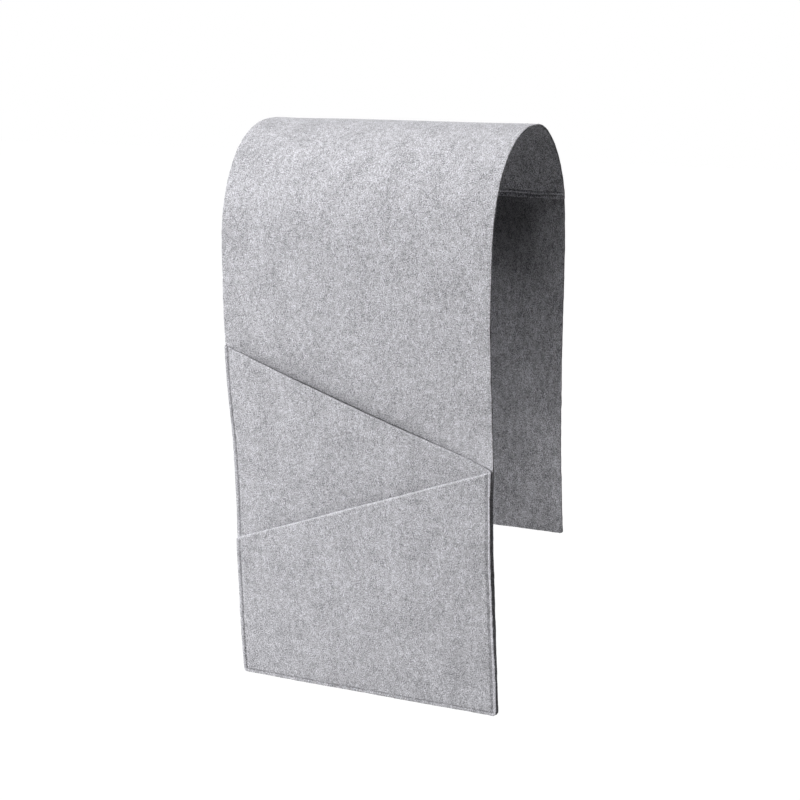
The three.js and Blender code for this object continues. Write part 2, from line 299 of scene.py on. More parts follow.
@dataclass(frozen=True)
class DrapeLine:
    """The line of the draped strip's outer face, from the front hem over the crown to the rear hem.

    Reach and drop pairs say how far from the crown's middle and how far below it the line bends.
    """

    thickness: float = Pattern.thickness
    crown_flat: float = 12 * MM
    front_shoulder: tuple[float, float] = (94 * MM, 109.5 * MM)
    front_knee: tuple[float, float] = (82 * MM, 273 * MM)
    front_hem: tuple[float, float] = (66 * MM, 503 * MM)
    rear_shoulder: tuple[float, float] = (83 * MM, 79.5 * MM)
    rear_hem: tuple[float, float] = (94.5 * MM, 385 * MM)
    front_crown_pull_share: float = 0.41
    front_shoulder_rise_share: float = 0.74
    front_shoulder_fall_share: float = 0.34
    front_knee_rise_share: float = 0.36
    front_knee_fall_share: float = 0.24
    front_hem_rise_share: float = 0.235
    front_knee_lean_share: float = 0.16
    front_hem_lean_share: float = 0.17
    rear_crown_pull_share: float = 0.55
    rear_shoulder_rise_share: float = 0.38
    rear_shoulder_fall_share: float = 0.3
    rear_hem_rise_share: float = 0.37
    rear_hem_lean_share: float = 0.17
    samples: int = 240

    def at(self, reach: float, drop: float) -> np.ndarray:
        """Depth and height of a point of the line."""
        return np.array([reach, self.thickness - drop])

    def bend(
        self, start: np.ndarray, start_pull: np.ndarray, end_pull: np.ndarray, end: np.ndarray
    ) -> tuple[np.ndarray, np.ndarray]:
        """Samples one cubic bend.

        Args:
            start: Its first point.
            start_pull: The handle at the start, relative to it.
            end_pull: The handle at the end, relative to it.
            end: Its last point.

        Returns:
            Points and headings along the bend, as two arrays.
        """
        t = np.linspace(0, 1, self.samples)[:, None]
        first, second = start + start_pull, end + end_pull
        u = 1 - t
        points = u**3 * start + 3 * u**2 * t * first + 3 * u * t**2 * second + t**3 * end
        slopes = u**2 * (first - start) + 2 * u * t * (second - first) + t**2 * (end - second)
        return points, np.arctan2(slopes[:, 1], slopes[:, 0])

    @cached_property
    def table(self) -> LineTable:
        """Samples the whole line.

        Returns:
            Its table, from the front hem to the rear hem.
        """
        front_hem = self.at(-self.front_hem[0], self.front_hem[1])
        front_knee = self.at(-self.front_knee[0], self.front_knee[1])
        front_shoulder = self.at(-self.front_shoulder[0], self.front_shoulder[1])
        crown_front, crown_rear = self.at(-self.crown_flat / 2, 0), self.at(self.crown_flat / 2, 0)
        rear_shoulder, rear_hem = self.at(*self.rear_shoulder), self.at(*self.rear_hem)
        pocket_span = self.front_hem[1] - self.front_knee[1]
        knee_span = self.front_knee[1] - self.front_shoulder[1]
        rear_span = self.rear_hem[1] - self.rear_shoulder[1]
        front_reach = self.front_shoulder[0] - self.crown_flat / 2
        rear_reach = self.rear_shoulder[0] - self.crown_flat / 2
        hem_rise = np.array([-self.front_hem_lean_share, 1]) * self.front_hem_rise_share * pocket_span
        knee_fall = np.array([self.front_knee_lean_share, -1]) * self.front_knee_fall_share * pocket_span
        knee_rise = np.array([-self.front_knee_lean_share, 1]) * self.front_knee_rise_share * knee_span
        shoulder_fall = np.array([0, -self.front_shoulder_fall_share * knee_span])
        shoulder_rise = np.array([0, self.front_shoulder_rise_share * self.front_shoulder[1]])
        crown_pull = np.array([-self.front_crown_pull_share * front_reach, 0])
        rear_pull = np.array([self.rear_crown_pull_share * rear_reach, 0])
        rear_rise = np.array([0, self.rear_shoulder_rise_share * self.rear_shoulder[1]])
        rear_fall = np.array([0, -self.rear_shoulder_fall_share * rear_span])
        rear_hem_rise = np.array([-self.rear_hem_lean_share, 1]) * self.rear_hem_rise_share * rear_span
        level = (crown_rear - crown_front) / 3
        bends = [
            self.bend(front_hem, hem_rise, knee_fall, front_knee),
            self.bend(front_knee, knee_rise, shoulder_fall, front_shoulder),
            self.bend(front_shoulder, shoulder_rise, crown_pull, crown_front),
            self.bend(crown_front, level, -level, crown_rear),
            self.bend(crown_rear, rear_pull, rear_rise, rear_shoulder),
            self.bend(rear_shoulder, rear_fall, rear_hem_rise, rear_hem),
        ]
        points = np.concatenate([bends[0][0][:1]] + [bend[0][1:] for bend in bends])
        heading = np.unwrap(np.concatenate([bends[0][1][:1]] + [bend[1][1:] for bend in bends]))
        station = np.concatenate([[0], np.cumsum(np.linalg.norm(np.diff(points, axis=0), axis=1))])
        return LineTable(station, points[:, 0], points[:, 1], heading)

    @property
    def length(self) -> float:
        """The line's length."""
        return float(self.table.station[-1])

    def rear_station(self, drop: float) -> float:
        """Distance along the line at which its rear side has come down by a drop.

        Args:
            drop: How far below the crown.

        Returns:
            The station, from the front hem.
        """
        rear = self.table.depth > self.crown_flat / 2
        falling = -self.table.height[rear]
        return float(np.interp(drop - self.thickness, falling, self.table.station[rear]))

    def place(self, cloth: np.ndarray) -> np.ndarray:
        """Drapes flat points.

        Args:
            cloth: Rows of across, station and out.

        Returns:
            Rows of X, Y and Z in the row frame.
        """
        table = self.table
        station = np.clip(cloth[:, 1], 0, self.length)
        beyond = cloth[:, 1] - station
        heading = np.interp(station, table.station, table.heading)
        along, up = np.cos(heading), np.sin(heading)
        depth = np.interp(station, table.station, table.depth) + along * beyond - up * cloth[:, 2]
        height = np.interp(station, table.station, table.height) + up * beyond + along * cloth[:, 2]
        return np.stack([cloth[:, 0], depth, height], axis=1)

    def outward(self, station: np.ndarray) -> np.ndarray:
        """Outward directions of the draped cloth.

        Args:
            station: Distances along the line.

        Returns:
            Unit rows of X, Y and Z.
        """
        heading = np.interp(station, self.table.station, self.table.heading)
        return np.stack([np.zeros_like(heading), -np.sin(heading), np.cos(heading)], axis=1)


@dataclass(frozen=True)
class StitchRow:
    """A run of lockstitches on the flat cloth, nearly straight, from its first hole to its last."""

    start: tuple[float, float]
    end: tuple[float, float]
    pitch: float
    rim_bank: float = 0.8 * MM
    inner_bank: float = 1.5 * MM
    wander: float = 0.12 * MM
    wander_length: float = 34 * MM
    wander_seed: int = 11
    tension: float = 1.0
    hole_share: float = 0.22

    @property
    def length(self) -> float:
        """The row's length."""
        return math.dist(self.start, self.end)

    @property
    def count(self) -> int:
        """How many whole stitches the row holds."""
        return max(round(self.length / self.pitch), 1)

    @property
    def way(self) -> np.ndarray:
        """The row's direction on the flat cloth."""
        return (np.array(self.end) - np.array(self.start)) / self.length

    def drift(self, along: np.ndarray) -> np.ndarray:
        """How far the row strays sideways, none at its ends.

        Args:
            along: Distances from its first hole.

        Returns:
            The sideways offset at each.
        """
        ends = smooth(along / self.wander_length) * smooth((self.length - along) / self.wander_length)
        places = np.column_stack([along, np.full_like(along, self.start[1])])
        return self.wander * ends * waves(places, self.wander_length, self.wander_seed)

    def point(self, share: np.ndarray) -> np.ndarray:
        """Flat points at shares of the row."""
        along = share * self.length
        aside = np.array([-self.way[1], self.way[0]])
        return np.array(self.start) + np.outer(along, self.way) + np.outer(self.drift(along), aside)

    def hold(self, cloth: np.ndarray) -> np.ndarray:
        """How firmly the stitches press the felt down: most at the holes, and steeply towards the rim.

        Args:
            cloth: Flat points, of which across and station are read.

        Returns:
            A share from 0 to 1 for each point.
        """
        offset = cloth[:, :2] - np.array(self.start)
        along = offset @ self.way
        away = offset @ np.array([-self.way[1], self.way[0]])
        away = away - self.drift(np.clip(along, 0, self.length))
        past = np.maximum(np.maximum(-along, along - self.length), 0)
        holes = np.cos(2 * math.pi * along * self.count / self.length)
        rim_side = np.exp(-((away / self.rim_bank) ** 2))
        inner_side = np.exp(-((away / self.inner_bank) ** 4))
        valley = np.where(away > 0, inner_side, rim_side) * np.exp(-((past / self.rim_bank) ** 2))
        return self.tension * valley * (1 - self.hole_share + self.hole_share * holes)


def pressed(rows: list[StitchRow], cloth: np.ndarray) -> np.ndarray:
    """The hold of several rows together.

    Args:
        rows: The stitch rows, which may be none.
        cloth: Flat points.

    Returns:
        A share for each point.
    """
    held = [row.hold(cloth) for row in rows]
    return np.max(held, axis=0) if held else np.zeros(len(cloth))


@dataclass(frozen=True)
class EdgeStray:
    """How far a hand-cut side edge strays outwards from straight, at stations along it."""

    stations: tuple[float, ...] = (0.0,)
    offsets: tuple[float, ...] = (0.0,)

    @classmethod
    def in_mm(cls, stations: tuple[float, ...], offsets: tuple[float, ...]) -> "EdgeStray":
        """Makes a stray from sizes in millimetres."""
        return cls(tuple(place * MM for place in stations), tuple(place * MM for place in offsets))

    def at(self, station: np.ndarray) -> np.ndarray:
        """The stray at any station, negative where the edge is drawn in."""
        return np.interp(station, self.stations, self.offsets)


class NodeSketch:
    """Builds one node tree, node by node."""

    def __init__(self, owner: bpy.types.Material | bpy.types.World) -> None:
        """Empties the owner's node tree."""
        owner.use_nodes = True
        self.tree = owner.node_tree
        self.tree.nodes.clear()

    def node(self, kind: str, **settings: object) -> bpy.types.Node:
        """Adds a node.

        Args:
            kind: The node's type.
            settings: Its own properties.

        Returns:
            The new node.
        """
        made = self.tree.nodes.new(kind)
        for key, value in settings.items():
            setattr(made, key, value)
        return made

    def link(self, source: bpy.types.NodeSocket, target: bpy.types.NodeSocket) -> None:
        """Joins two sockets."""
        self.tree.links.new(source, target)

    def rays(self, *kinds: str) -> bpy.types.NodeSocket:
        """Tells some kinds of light ray from the others.

        Args:
            kinds: Names of the Light Path outputs to look for.

        Returns:
            1 for a ray of any of the kinds, and 0 for the others.
        """
        path = self.node("ShaderNodeLightPath")
        found = path.outputs[kinds[0]]
        for kind in kinds[1:]:
            either = self.node("ShaderNodeMath", operation="MAXIMUM")
            self.link(found, either.inputs[0])
            self.link(path.outputs[kind], either.inputs[1])
            found = either.outputs[0]
        return found

    def finish(
        self, share: bpy.types.NodeSocket, first: bpy.types.Node, second: bpy.types.Node, output: str
    ) -> None:
        """Mixes two shaders into the tree's output.

        Args:
            share: How much of the second is seen.
            first: The shader where the share is 0.
            second: The shader where the share is 1.
            output: The output node's type.
        """
        mix = self.node("ShaderNodeMixShader")
        self.link(share, mix.inputs["Fac"])
        self.link(first.outputs[0], mix.inputs[1])
        self.link(second.outputs[0], mix.inputs[2])
        self.link(mix.outputs[0], self.node(output).inputs["Surface"])


class FinishSketch(NodeSketch):
    """Builds one finish: a material with a single shader."""

    def __init__(self, name: str) -> None:
        """Starts an empty material with its shader and output.

        Args:
            name: The material's name.
        """
        self.material = bpy.data.materials.new(name)
        super().__init__(self.material)
        self.shader = self.node("ShaderNodeBsdfPrincipled")
        output = self.node("ShaderNodeOutputMaterial")
        self.link(self.shader.outputs["BSDF"], output.inputs["Surface"])

    def attribute(self, name: str, output: str = "Vector") -> bpy.types.NodeSocket:
        """Reads one of the piece's own attributes."""
        return self.node("ShaderNodeAttribute", attribute_name=name).outputs[output]

    def noise(
        self, place: bpy.types.NodeSocket, size: float, detail: float = 1.0
    ) -> bpy.types.NodeSocket:
        """Adds soft noise of a real size.

        Args:
            place: The coordinates, in metres.
            size: How far apart its blotches are.
            detail: How many finer layers it has.

        Returns:
            The noise, about 0.5 on average.
        """
        made = self.node("ShaderNodeTexNoise")
        made.inputs["Scale"].default_value = 1 / size
        made.inputs["Detail"].default_value = detail
        self.link(place, made.inputs["Vector"])
        return made.outputs["Fac"]

    def stretch(self, place: bpy.types.NodeSocket, turn: float, scale: Vector) -> bpy.types.NodeSocket:
        """Turns and stretches coordinates.

        Args:
            place: The coordinates.
            turn: The angle about the sheet's outward direction, in radians.
            scale: How much each coordinate is multiplied by.

        Returns:
            The new coordinates.
        """
        mapping = self.node("ShaderNodeMapping", vector_type="TEXTURE")
        mapping.inputs["Rotation"].default_value = (0, 0, turn)
        mapping.inputs["Scale"].default_value = scale
        self.link(place, mapping.inputs["Vector"])
        return mapping.outputs["Vector"]

    def blend_in(
        self, total: bpy.types.NodeSocket | None, part: bpy.types.NodeSocket, weight: float
    ) -> bpy.types.NodeSocket:
        """Adds a centred, weighted part to a running total.

        Args:
            total: What was added so far, or nothing.
            part: A value about 0.5 on average.
            weight: How much its swing counts.

        Returns:
            The new total, centred on 0.
        """
        centred = self.node("ShaderNodeMath", operation="SUBTRACT")
        self.link(part, centred.inputs[0])
        centred.inputs[1].default_value = 0.5
        scaled = self.node("ShaderNodeMath", operation="MULTIPLY_ADD")
        self.link(centred.outputs[0], scaled.inputs[0])
        scaled.inputs[1].default_value = weight
        if total is None:
            scaled.inputs[2].default_value = 0.0
        else:
            self.link(total, scaled.inputs[2])
        return scaled.outputs[0]

    def ramp(self, value: bpy.types.NodeSocket, stops: list[tuple[float, tuple]]) -> bpy.types.NodeSocket:
        """Turns a value into a colour.

        Args:
            value: The value, from 0 to 1.
            stops: Places and colours, from low to high.

        Returns:
            The colour.
        """
        made = self.node("ShaderNodeValToRGB")
        elements = made.color_ramp.elements
        while len(elements) < len(stops):
            elements.new(0.5)
        for element, (place, colour) in zip(elements, stops):
            element.position = place
            element.color = (*colour, 1)
        self.link(value, made.inputs["Fac"])
        return made.outputs["Color"]

    def bump(self, height: bpy.types.NodeSocket, distance: float, strength: float) -> None:
        """Gives the shader a relief.

        Args:
            height: The relief, where 1 stands a distance high.
            distance: That height in metres.
            strength: The share of it that is used.
        """
        made = self.node("ShaderNodeBump")
        made.inputs["Distance"].default_value = distance
        made.inputs["Strength"].default_value = strength
        self.link(height, made.inputs["Height"])
        self.link(made.outputs["Normal"], self.shader.inputs["Normal"])


def grey(level: float, red: float = 1.005, blue: float = 1.06) -> tuple[float, float, float]:
    """A slightly cool grey.

    Args:
        level: Its green, linear.
        red: How much stronger its red is.
        blue: How much stronger its blue is.

    Returns:
        Red, green and blue.
    """
    return (level * red, level, level * blue)


@dataclass(frozen=True)
class FeltFinish:
    """Needle-punched grey felt: pale and dark fibres matted together, matt and a little fuzzy."""

    name: str = "grey_melange_felt"
    dark: float = 0.17
    middle: float = 0.47
    pale: float = 0.82
    grain: float = 1.0 * MM
    clump: float = 3.8 * MM
    cloud: float = 20 * MM
    lengthwise: float = 1.7
    fibre_length: float = 2.6 * MM
    fibre_width: float = 0.42 * MM
    fibre_turns: tuple[float, ...] = (0.75, 1.35, 1.75, 2.4)
    grain_share: float = 2.02
    clump_share: float = 0.72
    cloud_share: float = 0.3
    fibre_share: float = 0.8
    inner_contrast: float = 1.7
    relief: float = 0.32 * MM
    relief_strength: float = 0.8
    # What the colour is multiplied by: in the stitch valleys for compressed felt and painted shade, on
    # the side cut edges and in the hollows for painted shade, and under the painted highlight.
    pressed_shade: float = 0.66
    # Painted shade on the side cut edges: what the colour is multiplied by where it is full.
    side_cut_shade: float = 0.45
    # Painted shade in the hollows: what the colour is multiplied by where it is full.
    painted_shade_shade: float = 0.36
    brushed_shade: float = 1.4
    pale_roughness: float = 0.86
    sheen: float = 0.12
    sheen_roughness: float = 0.55
    specular: float = 0.12

    def make(self) -> bpy.types.Material:
        """Builds the material.

        Returns:
            The felt's material, which reads the cloth attribute and one attribute for each shade.
        """
        sketch = FinishSketch(self.name)
        cloth = sketch.attribute("cloth")
        grain = sketch.noise(cloth, self.grain, 2.0)
        total = sketch.blend_in(None, grain, self.grain_share)
        lengthwise = sketch.stretch(cloth, 0.0, Vector((1, self.lengthwise, 1)))
        total = sketch.blend_in(total, sketch.noise(lengthwise, self.clump, 2.0), self.clump_share)
        total = sketch.blend_in(total, sketch.noise(lengthwise, self.cloud, 1.0), self.cloud_share)
        relief = sketch.blend_in(None, grain, 1.0)
        for turn in self.fibre_turns:
            fibre = Vector((self.fibre_length, self.fibre_width, self.fibre_width))
            strands = sketch.noise(sketch.stretch(cloth, turn, fibre), 1.0)
            total = sketch.blend_in(total, strands, self.fibre_share)
            relief = sketch.blend_in(relief, strands, self.fibre_share)
        coarser = sketch.node("ShaderNodeMapRange", clamp=False)
        sketch.link(sketch.attribute("coarse", "Fac"), coarser.inputs["Value"])
        coarser.inputs["To Min"].default_value = 1.0
        coarser.inputs["To Max"].default_value = self.inner_contrast
        level = sketch.node("ShaderNodeMath", operation="MULTIPLY_ADD")
        sketch.link(total, level.inputs[0])
        sketch.link(coarser.outputs["Result"], level.inputs[1])
        level.inputs[2].default_value = 0.5
        stops = [(0.0, grey(self.dark)), (0.5, grey(self.middle)), (1.0, grey(self.pale))]
        colour = sketch.ramp(level.outputs[0], stops)
        # Painted shade and painted highlight, each by its attribute; the stitch valleys' darkening is
        # partly compressed felt.
        shades = {
            "pressed": self.pressed_shade,
            "side_cut": self.side_cut_shade,
            "painted_shade": self.painted_shade_shade,
            "brushed": self.brushed_shade,
        }
        for attribute, shade in shades.items():
            colour = self.shaded(sketch, colour, attribute, shade)
        sketch.link(colour, sketch.shader.inputs["Base Color"])
        rough = sketch.node("ShaderNodeMapRange")
        sketch.link(level.outputs[0], rough.inputs["Value"])
        rough.inputs["To Min"].default_value = 1.0
        rough.inputs["To Max"].default_value = self.pale_roughness
        sketch.link(rough.outputs["Result"], sketch.shader.inputs["Roughness"])
        sketch.shader.inputs["Sheen Weight"].default_value = self.sheen
        sketch.shader.inputs["Sheen Roughness"].default_value = self.sheen_roughness
        sketch.shader.inputs["Specular IOR Level"].default_value = self.specular
        sketch.bump(relief, self.relief, self.relief_strength)
        return sketch.material

    def shaded(
        self, sketch: FinishSketch, colour: bpy.types.NodeSocket, attribute: str, shade: float
    ) -> bpy.types.NodeSocket:
        """Darkens or lightens a colour where an attribute is high.

        Args:
            sketch: The material in work.
            colour: The colour so far.
            attribute: The attribute's name.
            shade: What the colour is multiplied by where the attribute is 1.

        Returns:
            The shaded colour.
        """
        mix = sketch.node("ShaderNodeMix", data_type="RGBA", blend_type="MULTIPLY")
        sketch.link(sketch.attribute(attribute, "Fac"), mix.inputs["Factor"])
        sketch.link(colour, mix.inputs["A"])
        mix.inputs["B"].default_value = (shade, shade, shade, 1)
        return mix.outputs["Result"]


@dataclass(frozen=True)
class FuzzFinish:
    """Single loose fibres that stand out of the felt."""

    name: str = "loose_fibre"
    dark: float = 0.36
    pale: float = 0.78
    roughness: float = 0.8
    specular: float = 0.2

    def make(self) -> bpy.types.Material:
        """Builds the material.

        Returns:
            The fibres' material, which reads the tone attribute.
        """
        sketch = FinishSketch(self.name)
        tone = sketch.attribute("tone", "Fac")
        colour = sketch.ramp(tone, [(0.0, grey(self.dark)), (1.0, grey(self.pale))])
        sketch.link(colour, sketch.shader.inputs["Base Color"])
        sketch.shader.inputs["Roughness"].default_value = self.roughness
        sketch.shader.inputs["Specular IOR Level"].default_value = self.specular
        return sketch.material


@dataclass(frozen=True)
class ThreadFinish:
    """Grey twisted polyester sewing thread with a slight lustre."""

    name: str = "twisted_thread"
    # Painted shade in the grooves between the plies and painted light on their crests.
    shaded_groove: float = 0.14
    lit_crest: float = 0.36
    fluff: float = 0.25 * MM
    ply_share: float = 0.9
    fluff_share: float = 0.8
    roughness: float = 0.58
    sheen: float = 0.2
    relief: float = 0.03 * MM
    relief_strength: float = 0.6

    def make(self) -> bpy.types.Material:
        """Builds the material.

        Returns:
            The thread's material, which reads the ply and strand attributes.
        """
        sketch = FinishSketch(self.name)
        ply = sketch.attribute("ply", "Fac")
        strand = sketch.attribute("strand")
        total = sketch.blend_in(None, ply, self.ply_share)
        fluff = sketch.noise(strand, self.fluff, 2.0)
        total = sketch.blend_in(total, fluff, self.fluff_share)
        level = sketch.node("ShaderNodeMath", operation="ADD")
        sketch.link(total, level.inputs[0])
        level.inputs[1].default_value = 0.5
        # The ply attribute paints shade in the grooves and light on the crests.
        colour = sketch.ramp(level.outputs[0], [(0.0, grey(self.shaded_groove)), (1.0, grey(self.lit_crest))])
        sketch.link(colour, sketch.shader.inputs["Base Color"])
        sketch.shader.inputs["Roughness"].default_value = self.roughness
        sketch.shader.inputs["Sheen Weight"].default_value = self.sheen
        sketch.bump(fluff, self.relief, self.relief_strength)
        return sketch.material


@dataclass(frozen=True)
class FeltSheet:
    """A felt sheet: cut flat as a grid, thickened, softened at its cut edges and draped."""

    name: str
    pattern: Pattern
    line: DrapeLine
    seed: int
    left_stray: EdgeStray = EdgeStray()
    right_stray: EdgeStray = EdgeStray()
    inner_coarse: float = 1.0

    def stray(self, cloth: np.ndarray) -> np.ndarray:
        """Stray of the nearer side edge at each flat point."""
        left, right = self.left_stray.at(cloth[:, 1]), self.right_stray.at(cloth[:, 1])
        return np.where(cloth[:, 0] > 0, right, left)

    def side_distance(self, cloth: np.ndarray) -> np.ndarray:
        """How far each flat point is from the nearer side edge."""
        return self.pattern.half_width + self.stray(cloth) - np.abs(cloth[:, 0])

    def inward(self, cloth: np.ndarray) -> np.ndarray:
        """Share of the way from the outer to the inner face at each point of the thickened sheet."""
        return np.clip(-cloth[:, 2] / self.pattern.thickness, 0, 1)

    def columns(self) -> np.ndarray:
        """Places the grid's columns.

        Returns:
            Across values, close together beside the side seams.
        """
        pattern = self.pattern
        fan = pattern.fan
        widening = fan[-1] + pattern.fine_step * np.cumsum(pattern.widening)
        margin = np.concatenate([[0.0], fan, widening])
        inner = pattern.half_width - margin[-1]
        steps = 2 * math.ceil(inner / pattern.plain_step)
        middle = np.linspace(-inner, inner, steps + 1)[1:-1]
        return np.concatenate([margin - pattern.half_width, middle, (pattern.half_width - margin)[::-1]])

    def rows(self) -> np.ndarray:
        """Shares of the grid's rows, from its bottom line to its top line."""
        raise NotImplementedError

    def bottom(self, across: np.ndarray) -> np.ndarray:
        """Stations of the bottom line."""
        raise NotImplementedError

    def top(self, across: np.ndarray) -> np.ndarray:
        """Stations of the top line."""
        raise NotImplementedError

    def lay(self, cloth: np.ndarray) -> np.ndarray:
        """Heights of the outer face, before stitches press it."""
        raise NotImplementedError

    def stitches(self, side: Side) -> list[StitchRow]:
        """The stitch rows that press one face."""
        return []

    def shows(self, cloth: np.ndarray, side: Side) -> np.ndarray:
        """Where a face is uncovered, as 0 or 1 for each point."""
        return np.ones(len(cloth))

    def hem_lift(self, across: np.ndarray) -> np.ndarray:
        """How far the rounded hem corners lift the hem.

        Args:
            across: Places across the strip.

        Returns:
            The lift at each.
        """
        corner = self.pattern.hem_corner
        side = corner - np.minimum(self.pattern.half_width - np.abs(across), corner)
        return corner - np.sqrt(np.maximum(corner**2 - side**2, 0))

    def hem_rows(self, end: float) -> np.ndarray:
        """Stations up from a hem, close together beside its seam.

        Args:
            end: The last station.

        Returns:
            The stations, from 0 to the end.
        """
        fan = self.pattern.fan
        count = math.ceil((end - fan[-1]) / self.pattern.stitched_step)
        return np.concatenate([[0.0], fan, np.linspace(fan[-1], end, count + 1)[1:]])

    def lip(self, cloth: np.ndarray) -> np.ndarray:
        """Share by which a mouth's lip is rolled in at each point."""
        return np.zeros(len(cloth))

    def side_shade(self, cloth: np.ndarray) -> np.ndarray:
        """How much painted shade darkens the side's cut edge, as a share of the finish's shade."""
        return np.ones(len(cloth))

    def brushed(self, cloth: np.ndarray) -> np.ndarray:
        """Where painted highlight lightens the colour."""
        return np.zeros(len(cloth))

    def painted_shade(self, cloth: np.ndarray) -> np.ndarray:
        """Where painted shade darkens a corner of the outer or the inner face."""
        return np.zeros(len(cloth))

    def ripple(self, cloth: np.ndarray) -> np.ndarray:
        """Slow unevenness of the hanging felt, alike in all the layers."""
        pattern = self.pattern
        return pattern.ripple * waves(cloth[:, :2], pattern.ripple_length, pattern.ripple_seed)

    def face(self, cloth: np.ndarray, side: Side) -> np.ndarray:
        """Heights of one face of the sheet.

        Args:
            cloth: Flat points.
            side: Which face.

        Returns:
            Out values.
        """
        pattern = self.pattern
        press = pattern.stitch_depth * pressed(self.stitches(side), cloth)
        level = self.lay(cloth) + self.ripple(cloth)
        if side is Side.OUTER:
            return level - press - pattern.lip_roll * self.lip(cloth)
        return level - pattern.thickness + press

    def edge_distance(self, cloth: np.ndarray) -> np.ndarray:
        """Measures to the nearest cut edge.

        Args:
            cloth: Flat points.

        Returns:
            The distance of each, at least 0.
        """
        low = cloth[:, 1] - self.bottom(cloth[:, 0])
        high = self.top(cloth[:, 0]) - cloth[:, 1]
        return np.maximum(np.minimum(self.side_distance(cloth), np.minimum(low, high)), 0)

    def frayed(self, cloth: np.ndarray) -> np.ndarray:
        """Makes the cut edges a little uneven.

        Args:
            cloth: Flat points of the thickened sheet.

        Returns:
            The points, moved in the sheet's own plane near the edges.
        """
        pattern = self.pattern
        moved = cloth.copy()
        side = 1 - smooth(self.side_distance(cloth) / pattern.fray_reach)
        low = 1 - smooth((cloth[:, 1] - self.bottom(cloth[:, 0])) / pattern.fray_reach)
        high = 1 - smooth((self.top(cloth[:, 0]) - cloth[:, 1]) / pattern.fray_reach)
        depth = cloth[:, 2] / 2
        along = np.stack([cloth[:, 1] + depth, cloth[:, 0] / 2 + depth], axis=1)
        beside = np.stack([cloth[:, 0] + depth, cloth[:, 1] / 2 + depth], axis=1)
        for stretch, share in pattern.fray_waves:
            length, size = stretch * pattern.fray_length, share * pattern.fray
            moved[:, 0] += size * side * waves(along, length, self.seed + 1)
            moved[:, 1] += size * (low + high) * waves(beside, length, self.seed + 2)
        return moved

    def cut(self) -> bpy.types.Object:
        """Adds the flat grid.

        Returns:
            The grid as an object, its vertices in cloth coordinates.
        """
        columns, rows = self.columns(), self.rows()
        bpy.ops.object.select_all(action="DESELECT")
        bpy.ops.mesh.primitive_grid_add(
            x_subdivisions=len(columns) - 1, y_subdivisions=len(rows) - 1, size=1
        )
        sheet = bpy.context.active_object
        sheet.name = self.name
        sheet.data.name = self.name
        grid = coordinates(sheet)
        across = columns[np.rint((grid[:, 0] + 0.5) * (len(columns) - 1)).astype(int)]
        share = rows[np.rint((grid[:, 1] + 0.5) * (len(rows) - 1)).astype(int)]
        low, high = self.bottom(across), self.top(across)
        rough = np.stack([across, low + (high - low) * share, 0 * across], axis=1)
        margin = smooth(1 - (self.pattern.half_width - np.abs(across)) / self.pattern.stray_reach)
        across = across + np.sign(across) * margin * self.stray(rough)
        low, high = self.bottom(across), self.top(across)
        move_vertices(sheet, np.stack([across, low + (high - low) * share, 0 * across], axis=1))
        return sheet

    def split_crosswise(self, sheet: bpy.types.Object, low: float, high: float) -> None:
        """Splits the long crosswise edges of a band, where stitches run across the sheet.

        Args:
            sheet: The flat grid.
            low: The band's first station.
            high: Its last station.
        """
        make_active(sheet)
        bpy.ops.object.mode_set(mode="EDIT")
        bpy.ops.mesh.select_mode(type="EDGE")
        bpy.ops.mesh.select_all(action="DESELECT")
        work = bmesh.from_edit_mesh(sheet.data)
        for edge in work.edges:
            first, last = (vertex.co for vertex in edge.verts)
            inside = low <= min(first.y, last.y) and max(first.y, last.y) <= high
            edge.select_set(inside and abs(first.x - last.x) > 2 * self.pattern.stitched_step)
        bmesh.update_edit_mesh(sheet.data)
        bpy.ops.mesh.subdivide(number_cuts=self.pattern.crosswise_cuts)
        bpy.ops.object.mode_set(mode="OBJECT")

    def refine(self, sheet: bpy.types.Object) -> None:
        """Adds what detail the flat grid needs beyond its rows and columns."""

    def thicken(self, sheet: bpy.types.Object) -> None:
        """Gives the flat sheet its thickness inwards and rounds its rims."""
        apply_modifier(sheet, "SOLIDIFY", thickness=self.pattern.thickness, offset=-1.0)
        apply_modifier(sheet, "BEVEL", width=self.pattern.rim_radius, segments=2, limit_method="ANGLE")

    def drape(self, sheet: bpy.types.Object) -> None:
        """Presses, frays and drapes the flat sheet, and stores what its finish reads.

        Args:
            sheet: The thickened flat sheet.
        """
        pattern = self.pattern
        cloth = coordinates(sheet)
        inward = self.inward(cloth)
        outer, inner = self.face(cloth, Side.OUTER), self.face(cloth, Side.INNER)
        holds = [pressed(self.stitches(side), cloth) for side in Side]
        store(sheet, "cloth", cloth + [0, self.seed, 0])
        # Where stitches press: darker for compressed felt and for painted shade in the valleys.
        store(sheet, "pressed", (holds[0] * (1 - inward) + holds[1] * inward) ** 2)
        store(sheet, "rim", 1 - smooth(self.edge_distance(cloth) / pattern.fray_reach))
        # Painted shade on the side cut edges.
        beside = 1 - smooth(self.side_distance(cloth) / pattern.rim_radius)
        store(sheet, "side_cut", beside * self.side_shade(cloth))
        store(sheet, "inward", inward)
        # Painted highlight, which also calms the grain where it lies.
        brushed = self.brushed(cloth)
        store(sheet, "coarse", inward * self.inner_coarse - pattern.brushed_calm * brushed)
        store(sheet, "brushed", brushed)
        # Painted shade above the mouths and below the rear seam.
        store(sheet, "painted_shade", self.painted_shade(cloth))
        moved = self.frayed(cloth)
        moved[:, 2] = outer + (inner - outer) * inward
        move_vertices(sheet, self.line.place(moved))
        shade_smooth(sheet)

    def build(self, finish: bpy.types.Material) -> bpy.types.Object:
        """Makes the whole sheet.

        Args:
            finish: The felt's material.

        Returns:
            The draped sheet.
        """
        sheet = self.cut()
        self.refine(sheet)
        self.thicken(sheet)
        self.drape(sheet)
        sheet.data.materials.append(finish)
        log.info("%s: %d faces", sheet.name, len(sheet.data.polygons))
        return sheet


